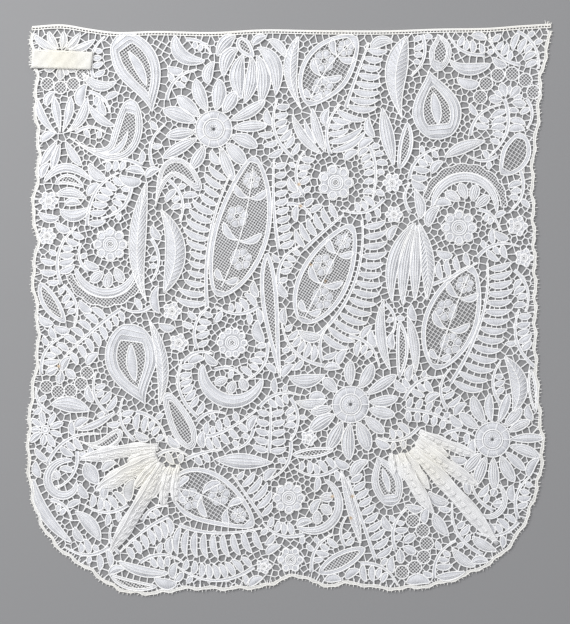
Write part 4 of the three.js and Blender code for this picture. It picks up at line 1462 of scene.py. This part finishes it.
    def lay_boteh(self, blade: Blade) -> None:
        """Lay a boteh: a broad border with lines round it, net inside, and a small inner leaf."""
        border = 0.22 * blade.width
        outer, *lines, inner = (blade.ring(self.step, share * border) for share in (0, 0.34, 0.68, 1))
        self.lay_border(outer, inner)
        for ring in lines:
            self.veins.loop(ring, 2.2, self.cord, self.vein_height + 0.1)
        self.lay_net(inner, 1.55, -8.0)
        if blade.width > 16:
            small = Blade(Stretch(blade.course, 0.3, 0.78), 0.2 * blade.width)
            self.cloth.lay(*small.edges(self.step, 0.1))
            self.lay_rim(small.ring(self.step))
            self.plan.keep_ground(outer, 4.0)
        self.plan.take(outer)

    def lay_leaves(self) -> None:
        """Lay the leaves of the table."""
        ways = {
            LEAF: self.lay_leaf,
            FEATHER: self.lay_feather,
            HORN: self.lay_horn,
            NET: partial(self.lay_net_leaf, pitch=self.net_pitch),
            OPEN_NET: partial(self.lay_net_leaf, pitch=self.open_pitch),
            BOTEH: self.lay_boteh,
        }
        for leaf in LEAVES:
            roundness = 0.62 if leaf.fill in (NET, OPEN_NET, HORN) else 0.85
            blunt = 0.5 if leaf.fill is BOTEH else 0.0
            if not self.fit(Blade(leaf, leaf.width, leaf.fullest, roundness, blunt), 0.06, ways[leaf.fill]):
                LOG.info("no room for the %s at %s", leaf.fill.value, leaf.root)

    def lay_eye(self, centre: Spot, radius: float) -> None:
        """Lay the round eye of a flower: close cloth with rings of gimp on it."""
        outer, middle, inner = (circle(centre, share * radius, 30) for share in (1, 0.55, 0.08))
        self.cloth.lay(outer, middle, closed=True)
        self.cloth.lay(middle, inner, closed=True)
        for share, thick in ((1, 0.36), (0.58, 0.42), (0.46, 0.26)):
            self.gimps.loop(circle(centre, share * radius, 30), 1.1, thick, self.vein_height)
        if radius > 5:
            for spoke in zip(*(circle(centre, share * radius, 10) for share in (0.6, 0.98))):
                self.gimps.lay(np.array(spoke), 0.26, self.vein_height)
            for dot in circle(centre, 0.22 * radius, 6):
                self.gimps.lay(circle(dot, 0.75, 7), 0.2, self.vein_height, closed=True)
        self.plan.take(outer)

    def lay_rosette(self, centre: Spot, radius: float, lobes: int) -> None:
        """Lay a rosette: a round of windows edged with gimp, rings inside them and a netted middle.

        Args:
            centre: Its middle.
            radius: Its radius to the tips of its lobes.
            lobes: How many lobes it has.
        """
        lobe = min(0.28, 0.7 * math.sin(math.pi / lobes)) * radius
        middle = 0.7 * radius
        count = max(lobes * 8, 32)
        degrees = np.arange(count) * 360 / count
        beside = np.radians((degrees + 180 / lobes) % (360 / lobes) - 180 / lobes)
        bulge = np.sqrt(np.maximum(lobe**2 - (middle * np.sin(beside)) ** 2, (0.3 * lobe) ** 2))
        outer = on_circle(centre, middle * np.cos(beside) + bulge, degrees)
        inner, eye = (circle(centre, share * radius, count) for share in (0.4, 0.17))
        self.cloth.lay(outer, inner, closed=True)
        self.cloth.lay(inner, eye, closed=True)
        self.lay_rim(outer)
        self.lay_net(eye, 1.0)
        for share, thick in ((1, 0.42), (0.72, 0.28), (0.42, 0.3)):
            self.gimps.loop(share * (inner - centre) + centre, 1.1, thick, self.vein_height)
        for window in circle(centre, middle, lobes):
            self.gimps.lay(circle(window, 0.74 * lobe, 9), 0.34, self.vein_height, closed=True)
        self.plan.keep_ground(outer, 4.0 if radius > 8 else 2.0)
        self.plan.take(outer)

    def lay_rosettes(self) -> None:
        """Lay the rosettes between the leaves."""
        for row in ROSETTES:
            for radius in (row.radius * share for share in self.shrinks):
                if self.plan.is_clear(circle(row.centre, radius, 24), 0.05):
                    self.lay_rosette(row.centre, radius, row.lobes)
                    break

    def lay_flowers(self) -> None:
        """Lay the flowers: an eye of rings, and long uneven petals round it."""
        for row in FLOWERS:
            self.lay_eye(row.centre, row.eye)
            even = math.pi * (row.eye + row.reach) / row.petals
            for petal in range(row.petals):
                angle = row.turn + 360 * petal / row.petals + self.random.uniform(-3, 3)
                tip = row.reach * self.random.uniform(0.8, 1.03)
                sway = self.random.uniform(-4, 4)
                radii = np.array([row.eye + 0.2, (row.eye + tip) / 2, tip])
                course = Bend(*on_circle(row.centre, radii, angle + np.array([0, sway, 0])))
                width = even * self.random.uniform(0.62, 0.86)
                self.fit(Blade(course, width, 0.55, 0.62), 0.06, self.lay_leaf, rooted=True)

    def lay_fans(self) -> None:
        """Lay the fans: petals from a middle, and lobes of net round them."""
        for row in FANS:
            for lobe in range(row.lobes):
                angle = row.start + (row.end - row.start) * lobe / (row.lobes - 1)
                ring = circle(on_circle(row.centre, row.ring, angle), row.lobe, 14)
                if self.plan.is_clear(ring, 0.2):
                    self.lay_rim(ring)
                    self.lay_net(ring, self.net_pitch)
                    self.plan.take(ring)
                radii = np.array([2.5, 6.5, row.ring - row.lobe - 0.7])
                petal = Blade(Bend(*on_circle(row.centre, radii, angle)), 5.4, 0.6, 0.7)
                self.fit(petal, 0.05, self.lay_leaf)

    def lay_scrolls(self) -> None:
        """Lay the scrolls, the petals inside them and the scallops of net outside them."""
        for row in SCROLLS:
            closing = 0.5 if abs(row.sweep) > 200 else 0.08
            course = Spiral(row.centre, row.radius, row.start, row.sweep, closing)
            self.fit(Blade(course, row.band, 0.45, 0.5), 0.08, self.lay_horn)
            for petal in range(row.petals):
                angle = row.start + row.sweep * (petal + 1) / (row.petals + 1)
                outer = on_circle(row.centre, row.radius - row.band / 2 - 1.4, angle)
                inner = on_circle(row.centre, 0.3 * row.radius, angle + 18 * math.copysign(1, row.sweep))
                bend = Bend(outer, (outer + inner) / 2, inner)
                self.fit(Blade(bend, 6, 0.4, 0.7), 0.05, self.lay_leaf)
            if row.scallops:
                self.lay_net_band(row)

    def lay_net_band(self, row: Scroll) -> None:
        """Lay a scalloped band of net outside a scroll, as deep as there is room for."""
        t = np.linspace(0.05, 0.95, 8 * row.scallops)
        inner = Spiral(row.centre, row.radius + row.band / 2 + 0.5, row.start, row.sweep).at(t)
        out = unit(inner - row.centre)
        wave = np.abs(np.sin(np.pi * row.scallops * t)) ** 0.6
        for depth in self.DEPTHS:
            reach = (0.72 + 0.28 * wave) * depth * np.sin(np.pi * t).clip(0) ** 0.25
            ring = np.vstack([inner, (inner + reach[:, None] * out)[::-1]])
            if self.plan.is_clear(ring, 0.14):
                self.lay_net(ring, self.net_pitch, 5.0)
                self.lay_rim(ring)
                self.plan.take(ring)
                return

    def lay_frond(self, root: Points, out: Points, ahead: Points, reach: float) -> None:
        """Lay a frond that curves towards the fern's tip, as long as there is room for.

        Args:
            root: Where it leaves the stem.
            out: Direction away from the stem.
            ahead: Direction along the stem.
            reach: Its full length.
        """
        for share in self.FROND_SHARES:
            size = share * reach
            if size < self.LEAST_FROND:
                return
            middle = root + 0.52 * size * out + 0.04 * size * ahead
            course = Bend(root, middle, root + size * (0.92 * out + 0.32 * ahead))
            width = self.frond_width * (0.7 + 0.3 * share)
            free = Blade(Stretch(course, min(2.4 / size, 0.5), 1), width, 0.42, 0.7)
            if self.plan.is_clear(free.ring(2.0), 0.03, self.bride):
                frond = Blade(Stretch(course, 0, 0.88), width, 0.42, 0.7)
                self.lay_leaf(frond, small=True, vein=False)
                return

    def lay_fern(self, stem: Course, left: float, right: float) -> None:
        """Lay a fern: its stem, then its fronds from the root to the tip.

        Args:
            stem: Its middle line.
            left: Length of the fronds on the left.
            right: Length of the fronds on the right.
        """
        line = stem.at(stem.shares(0, 1, self.step, 4))
        out = normals(line) * np.linspace(0.95, 0.35, len(line))[:, None]
        for side in (1, -1):
            self.fern_gimps.lay(line + side * out, 0.36, self.gimp_height)
        self.cloth.lay(line + 0.9 * out, line - 0.9 * out)
        self.middles.append(line[::3])
        self.plan.take(np.vstack([line + 1.2 * out, (line - 1.2 * out)[::-1]]))
        count = max(round(stem.length() / self.frond_pitch), 2)
        shares = (np.arange(count) + 0.3) / count
        roots = stem.at(shares)
        for side, reach in ((1, left), (-1, right)):
            for share, root, off in zip(shares, roots, normals(roots)):
                ahead = np.array([off[1], -off[0]])
                self.lay_frond(root + 0.7 * side * off, side * off, ahead, reach * (1.05 - 0.3 * share))

    def lay_ferns(self) -> None:
        """Lay the ferns of the table."""
        for fern in FERNS:
            self.lay_fern(fern, fern.left, fern.right)

    def spots(self, least: int, jitter: float) -> Points:
        """Find the wide spaces that are left.

        Args:
            least: Least clearance in cells.
            jitter: How many cells of clearance chance may outweigh in their order.

        Returns:
            Row, column and clearance of each cell, the widest spaces first.
        """
        clearance = self.plan.clearance()
        cells = np.argwhere(clearance >= least)
        clear = clearance[cells[:, 0], cells[:, 1]]
        order = np.argsort(-clear + self.random.random(len(cells)) * jitter)
        return np.column_stack([cells, clear])[order]

    def cut(self, lengths: Sequence[float], width: float, turn: int, gap: float) -> dict[Stencil, Points]:
        """Cut stencils of some lengths in all directions.

        Args:
            lengths: Their lengths, the longest first.
            width: Their width.
            turn: How far they turn in all, in degrees.
            gap: Distance that they keep.

        Returns:
            The cells that each stencil needs.
        """
        made = [Stencil(length, width, degrees) for length in lengths for degrees in range(0, turn, 15)]
        return {s: self.plan.footprint(s.blade(np.zeros(2)).ring(1.5), gap) for s in made}

    def first_fit(
        self, row: int, column: int, tries: Iterable[Stencil], needs: dict[Stencil, Points]
    ) -> Stencil | None:
        """Return the first stencil that has room about a cell, if any."""
        return next((s for s in tries if self.plan.has_room(row, column, needs[s])), None)

    def lay_sprays(self) -> None:
        """Fill the widest spaces that are left with ferns whose fronds reach as far as they can."""
        for radius, lengths in SPRAYS:
            needs = self.cut(lengths, self.STEM_WIDTH, 360, self.bride)
            stencils = np.array(list(needs), object).reshape(len(lengths), -1)
            for row, column, _ in self.spots(radius, 2.0):
                rows, columns = (slice(k - radius, k + radius + 1) for k in (row, column))
                if self.plan.taken[rows, columns].any():
                    continue
                tries = stencils[:, self.random.permutation(stencils.shape[1])].ravel()
                found = self.first_fit(row, column, tries, needs)
                if found:
                    stem = found.blade(self.plan.middle(row, column)).course
                    self.lay_fern(stem, self.spray_reach, self.spray_reach)

    def fill_rest(self) -> None:
        """Fill the wide spaces that are left with small leaves that lean off the nearest motif."""
        middles = np.vstack(self.middles)
        for radius, lengths, width in FILLERS:
            needs = self.cut(lengths, width, 180, 0.0)
            core = self.plan.footprint(circle((0, 0), 0.5 * width, 8))
            for row, column, _ in self.spots(radius, 1.5):
                if not self.plan.has_room(row, column, core):
                    continue
                at = self.plan.middle(row, column)
                toward = unit(middles[((middles - at) ** 2).sum(1).argmin()] - at)
                wanted = math.degrees(math.atan2(toward[1], toward[0])) + self.random.choice((-30, 30))
                tries = sorted(needs, key=lambda s: (-s.length, abs((s.degrees - wanted + 90) % 180 - 90)))
                found = self.first_fit(row, column, tries, needs)
                if found:
                    blade = found.blade(at + self.plan.slide(row, column, needs[found], toward))
                    self.lay_leaf(blade, small=True, vein=self.random.random() < 0.5)

    def lay_brides(self) -> None:
        """Work brides across what is left, along the borders between evenly scattered gaps."""
        claimed = np.zeros(self.plan.taken.shape, bool)
        gaps = []
        for row, column, clear in self.spots(1, 1.2):
            if claimed[row, column]:
                continue
            reach = min(self.LEAST_GAP + 0.7 * clear * CELL, self.MOST_GAP) / CELL
            rows, columns = (slice(k - int(reach) - 1, k + int(reach) + 2) for k in (row, column))
            y, x = np.ogrid[rows, columns]
            claimed[rows, columns] |= (y - row) ** 2 + (x - column) ** 2 < reach**2
            gaps.append(self.plan.middle(row, column))
        scattered = np.array(gaps) + self.random.uniform(-0.2, 0.2, (len(gaps), 2))
        for first, last in self.borders(scattered):
            self.lay_bride(first, last)
        LOG.info("brides between %d gaps", len(gaps))

    def borders(self, seeds: Points) -> list[tuple[Points, Points]]:
        """Return the borders between the areas that lie nearest to each seed."""
        made = delaunay_2d_cdt([Vector(p) for p in seeds], [], [], 0, 1e-6)
        places = np.array([(v.x, v.y) for v in made[0]])
        triangles = np.array(made[2])
        corners = [places[triangles[:, k]] for k in range(3)]
        others = list(zip(corners[1:] + corners[:1], corners[2:] + corners[:2]))
        rises = [q[:, 1] - r[:, 1] for q, r in others]
        runs = [r[:, 0] - q[:, 0] for q, r in others]
        double = 2 * sum(p[:, 0] * rise for p, rise in zip(corners, rises))
        squares = [(p**2).sum(1) for p in corners]
        centres = [sum(s * leg for s, leg in zip(squares, legs)) / double for legs in (rises, runs)]
        centres = np.stack(centres, axis=1)
        owner: dict[tuple[int, int], int] = {}
        found = []
        for number, triangle in enumerate(triangles):
            for u, v in zip(triangle, np.roll(triangle, -1)):
                key = (min(u, v), max(u, v))
                if key in owner:
                    found.append((centres[owner[key]], centres[number]))
                else:
                    owner[key] = number
        return found

    def lay_bride(self, first: Points, last: Points) -> None:
        """Lay the free stretches of a border as brides, tucked under the motifs that they reach."""
        run = float(np.linalg.norm(last - first))
        if not 0.3 < run < 40:
            return
        samples = first + np.linspace(0, 1, int(run / 0.25) + 2)[:, None] * (last - first)
        free = self.plan.is_free(samples).astype(int)
        ends = np.flatnonzero(np.diff(np.concatenate([[0], free, [0]])))
        along = (last - first) / run
        for start, end in zip(ends[::2], ends[1::2]):
            if end - start >= 3:
                head = samples[start] - along * (self.TUCK if start > 0 else self.OVERLAP)
                tail = samples[end - 1] + along * (self.TUCK if end < len(samples) else self.OVERLAP)
                self.brides.lay(np.vstack([head, tail]), self.random.uniform(0.32, 0.46), self.bride_height)

    def lay_edge(self) -> None:
        """Lay the footing along the sides and hem: two cords with cloth stitch between them."""
        line = resample(self.hem, 1.6)
        inward = normals(line)
        wave = 0.3 + 0.3 * np.sin(np.arange(len(line)) * 2 * math.pi / 5)[:, None]
        outer, inner = line + wave * inward, line + self.FOOTING * inward
        self.edge_cloth.lay(inner, outer)
        for cord in (outer, inner):
            self.edge_threads.lay(cord, self.cord, 0.62)
        for place, off in zip(inner[::2], inward[::2]):
            self.brides.lay(np.vstack([place - 0.4 * off, place + 1.9 * off]), self.cord, 0.3)
        self.plan.take(np.vstack([line - 0.5 * inward, inner[::-1]]))

    def lay_all(self) -> None:
        """Lay the motifs that are drawn, fill the spaces off the ground, and work the brides."""
        for pleat in PLEATS:
            self.plan.take(pleat.foot())
        self.lay_edge()
        self.lay_leaves()
        self.lay_flowers()
        self.lay_rosettes()
        self.lay_fans()
        self.lay_scrolls()
        self.lay_ferns()
        ground = self.plan.ground & ~self.plan.taken
        self.plan.taken |= ground
        self.lay_sprays()
        self.fill_rest()
        self.plan.taken &= ~ground
        self.lay_brides()

    def build(self, tree: ThreadTree, finishes: dict[str, Material]) -> list[Piece]:
        """Lay everything and work it into pieces.

        Args:
            tree: Node tree that works threads.
            finishes: Materials by name.

        Returns:
            The panel's pieces, the cloth stitch first.
        """
        self.lay_all()
        pieces = [self.cloth.work(finishes["cloth"]), self.edge_cloth.work(finishes["footing"])]
        for threads in (self.gimps, self.fern_gimps, self.veins):
            pieces.append(threads.work(tree, finishes["gimp"]))
        for threads in (self.nets, self.brides):
            pieces.append(threads.work(tree, finishes["net"]))
        pieces.append(self.edge_threads.work(tree, finishes["aged"]))
        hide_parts("lace_panel")
        return pieces


@dataclass
class Picots:
    """The small thorns of thread along the sides and hem."""

    spacing: float = 2.3
    length: float = 1.2
    thickness: float = 0.3
    height: float = 0.6

    def build(self, hem: Points, finish: Material) -> Piece:
        """Stand the picots along the hem.

        Args:
            hem: The outline of the sides and hem.
            finish: Their material.

        Returns:
            All picots in one piece.
        """
        line = resample(hem, 1.0)
        rim = np.column_stack([line + PLAN_SHIFT, lift(line) + self.height]) * MM
        order = np.arange(len(line))
        edges = edge_mesh("picots_line", rim, np.column_stack([order[:-1], order[1:]]))
        sizes = {"Spacing": self.spacing, "Length": self.length, "Thickness": self.thickness}
        values = {label: size * MM for label, size in sizes.items()}
        piece = PicotTree().work("picots", edges, {**values, "Seed": SEED, "Finish": finish})
        return piece


@dataclass
class HeadingTape:
    """The narrow heading along the top edge: a cord, a row of small holes and a second cord."""

    width: float = 2.7
    hole_pitch: float = 1.9
    loose_ends: int = 9

    def build(self, tree: ThreadTree, finish: Material) -> Piece:
        """Work the heading, and the loose ends at its right.

        Args:
            tree: Node tree that works threads.
            finish: Material of the threads.

        Returns:
            The heading.
        """
        threads = Threads("heading", 5)
        top = resample(catmull_rom(TOP_EDGE), self.hole_pitch)
        down = np.array([0.0, -1.0])
        for drop, radius, height in ((0.55, 0.5, 0.55), (1.15, 0.24, 0.6), (self.width - 0.3, 0.36, 0.5)):
            threads.lay(top + drop * down, radius, height)
        for place in top:
            threads.lay(np.vstack([place + 0.9 * down, place + (self.width - 0.2) * down]), 0.3, 0.42)
        random = np.random.default_rng(SEED)
        for _ in range(self.loose_ends):
            root = top[-1] - (random.uniform(0, 3.5), random.uniform(0.2, 2.4))
            away = np.array([random.uniform(-0.6, 1.4), random.uniform(0.8, 2.2)])
            curl = np.array([random.uniform(-0.5, 0.5), 0])
            threads.lay(np.vstack([root, root + 0.5 * away + curl, root + away]), 0.16, 0.6)
        piece = threads.work(tree, finish)
        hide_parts("heading_tape")
        return piece


@dataclass
class TapeLabel:
    """The short blank cotton tape sewn on at the top left, with a frayed left end."""

    bottom: float = 1.5
    thick: float = 0.75
    length: float = 36.0
    width: float = 11.0
    columns: int = 44
    rows: int = 14
    frays: int = 19
    stitches: int = 13

    # Its corners on the plan, from the lower left one to the right and round
    CORNERS = np.array([(-154.4, 144.6), (-118.5, 143.6), (-117.2, 154.2), (-153.6, 156)])

    def place(self, u: Points, v: Points) -> Points:
        """Return plan points of the tape at shares of its length and width."""
        a, b, c, d = self.CORNERS
        low, high = a + (b - a) * u[..., None], d + (c - d) * u[..., None]
        return low + (high - low) * v[..., None]

    def lay_threads(self) -> Threads:
        """Lay the threads of the frayed end and the stitches along both sides."""
        threads = Threads("tape_threads")
        random = np.random.default_rng(SEED)
        for share in np.linspace(0.02, 0.98, self.frays):
            root = self.place(np.array([0.02]), np.array([share]))[0]
            away = np.array([-random.uniform(1.2, 3.0), random.uniform(-0.7, 0.7)])
            path = np.vstack([root, root + 0.5 * away + (0, random.uniform(-0.3, 0.3)), root + away])
            threads.lay(path, 0.17, np.array([1.45, 1.2, 0.7]))
        for side in (0.1, 0.9):
            for share in (np.arange(self.stitches) + 0.5) / self.stitches:
                ends = self.place(np.array([share - 0.018, share, share + 0.018]), np.full(3, side))
                threads.lay(ends, 0.2, np.array([1.85, 2.06, 1.85]))
        return threads

    def build(self, tree: ThreadTree, finishes: dict[str, Material]) -> list[Piece]:
        """Work the tape, its stitches and its frayed threads.

        Args:
            tree: Node tree that works threads.
            finishes: Materials by name.

        Returns:
            The tape first, then its threads.
        """
        u, v = np.meshgrid(np.linspace(0, 1, self.columns), np.linspace(0, 1, self.rows), indexing="ij")
        rim = np.minimum(np.minimum(u, 1 - u) * 36, np.minimum(v, 1 - v) * 10).clip(0, 0.8) / 0.8
        swell = 0.13 * np.sin(u * 14 + v * 3) + 0.08 * np.sin(u * 31 - v * 7)
        top = self.bottom + self.thick * (0.45 + 0.55 * rim**0.5) + swell * rim
        flat = self.place(u, v).reshape(-1, 2) + PLAN_SHIFT
        heights = (top.ravel(), np.full(top.size, self.bottom))
        places = np.vstack([np.column_stack([flat, height]) for height in heights])
        grid = np.arange(top.size).reshape(top.shape)
        a, b, c, d = (g.ravel() for g in (grid[:-1, :-1], grid[1:, :-1], grid[1:, 1:], grid[:-1, 1:]))
        over = np.vstack([np.stack([a, b, c], 1), np.stack([a, c, d], 1)])
        border = np.concatenate([grid[:, 0], grid[-1, 1:], grid[-2::-1, -1], grid[0, -2:0:-1]])
        ahead, size = np.roll(border, -1), grid.size
        near = np.stack([border, border + size, ahead + size], 1)
        far = np.stack([border, ahead + size, ahead], 1)
        faces = np.vstack([over, over[:, ::-1] + size, near, far])
        weave = np.tile(np.column_stack([v.ravel() * self.width, u.ravel() * self.length]), (2, 1)) * MM
        tape = mesh_piece("tape_label_cloth", places * MM, faces, finishes["tape"], weave)
        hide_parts("tape_label")
        sewn = self.lay_threads().work(tree, finishes["aged"])
        return [tape, sewn]


# The room


@dataclass
class Studio:
    """The pale table, the soft lights and the camera straight above.

    Attributes:
        view_height: Height of the view in millimetres.
        centre: Middle of the view on the plan.
        lens: Focal length of the camera, in millimetres.
        sensor: Long side of its sensor, in millimetres.
        table: Half the side of the table, in metres.
    """

    view_height: float = 374.4
    centre: Spot = (-2.4, -1.5)
    lens: float = 85.0
    sensor: float = 36.0
    table: float = 3.0

    def lay_table(self) -> None:
        """Lay the table."""
        mesh = bpy.data.meshes.new("table")
        corners = [(x * self.table, y * self.table, 0) for x, y in ((-1, -1), (1, -1), (1, 1), (-1, 1))]
        mesh.from_pydata(corners, [], [(0, 1, 2, 3)])
        finish = bpy.data.materials.new("pale_table")
        finish.use_nodes = True
        shader = finish.node_tree.nodes["Principled BSDF"]
        shader.inputs["Base Color"].default_value = (0.285, 0.285, 0.29, 1)
        shader.inputs["Roughness"].default_value = 0.9
        mesh.materials.append(finish)
        link("table", mesh)

    def hang_light(self, name: str, place: tuple[float, float, float], size: float, power: float) -> None:
        """Hang a square soft light that looks at the lace.

        Args:
            name: Its name.
            place: Where it hangs, in metres.
            size: Its side, in metres.
            power: Its power, in watts.
        """
        lamp = bpy.data.lights.new(name, "AREA")
        lamp.shape = "SQUARE"
        lamp.size = size
        lamp.energy = power
        hung = link(name, lamp)
        hung.location = place
        hung.rotation_euler = (-Vector(place)).to_track_quat("-Z", "Y").to_euler()

    def set_camera(self) -> None:
        """Set the camera straight above the lace, with the photograph's frame."""
        camera = bpy.data.cameras.new("camera")
        camera.sensor_width = self.sensor
        camera.lens = self.lens
        camera.clip_start = 0.01
        camera.clip_end = 20
        seat = link("camera", camera)
        x, y = np.add(self.centre, PLAN_SHIFT) * MM
        seat.location = (x, y, self.view_height * MM * self.lens / self.sensor)
        bpy.context.scene.camera = seat

    def build(self) -> None:
        """Lay the table, hang the lights and set the camera."""
        self.lay_table()
        self.hang_light("key", (-0.75, 0.7, 0.85), 0.7, 16.4)
        self.hang_light("fill", (0.9, -0.5, 1.3), 1.2, 4.0)
        world = bpy.data.worlds.new("room")
        world.use_nodes = True
        world.node_tree.nodes["Background"].inputs["Color"].default_value = (0.96, 0.97, 1.0, 1)
        world.node_tree.nodes["Background"].inputs["Strength"].default_value = 0.45
        bpy.context.scene.world = world
        bpy.context.scene.view_settings.view_transform = "Standard"
        self.set_camera()


def count_triangles(piece: Piece) -> int:
    """Return how many triangles a piece has."""
    piece.data.calc_loop_triangles()
    return len(piece.data.loop_triangles)


def main() -> None:
    """Build the cravat end and the room that it lies in."""
    logging.basicConfig(level=logging.INFO, format="%(relativeCreated)d ms %(name)s: %(message)s")
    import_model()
    finishes = {
        "gimp": ThreadFinish("gimp_linen", (0.97, 0.97, 0.975), (0.95, 0.94, 0.91)).material(),
        "net": ThreadFinish("net_linen", (0.93, 0.93, 0.94), (0.91, 0.9, 0.87)).material(),
        "aged": ThreadFinish("aged_linen", (0.97, 0.96, 0.93), (0.94, 0.91, 0.84), 0.92).material(),
        "cloth": WovenFinish("cloth_stitch", (0.45, 0.46, 0.49), (0.78, 0.79, 0.825)).material(),
        "footing": WovenFinish("footing_stitch", (0.62, 0.62, 0.61), (0.85, 0.845, 0.82)).material(),
        "pleat": WovenFinish("pleat_stitch", (0.55, 0.55, 0.565), (0.87, 0.87, 0.87), 0.8, 0.4).material(),
        "tape": WovenFinish("tape_weave", (0.73, 0.715, 0.67), (0.86, 0.85, 0.81), 0.55).material(),
    }
    tree = ThreadTree()
    panel = LacePanel()
    lace = panel.build(tree, finishes)
    lace += Pleats().build(tree, finishes["pleat"], finishes["gimp"])
    lace.append(Picots().build(panel.hem, finishes["aged"]))
    heading = HeadingTape().build(tree, finishes["aged"])
    tape = TapeLabel().build(tree, finishes)
    for piece in [*lace, heading, *tape]:
        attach(piece, BODY)
        LOG.info("%s: %d triangles", piece.name, count_triangles(piece))
    Studio().build()


if __name__ == "__main__":
    main()
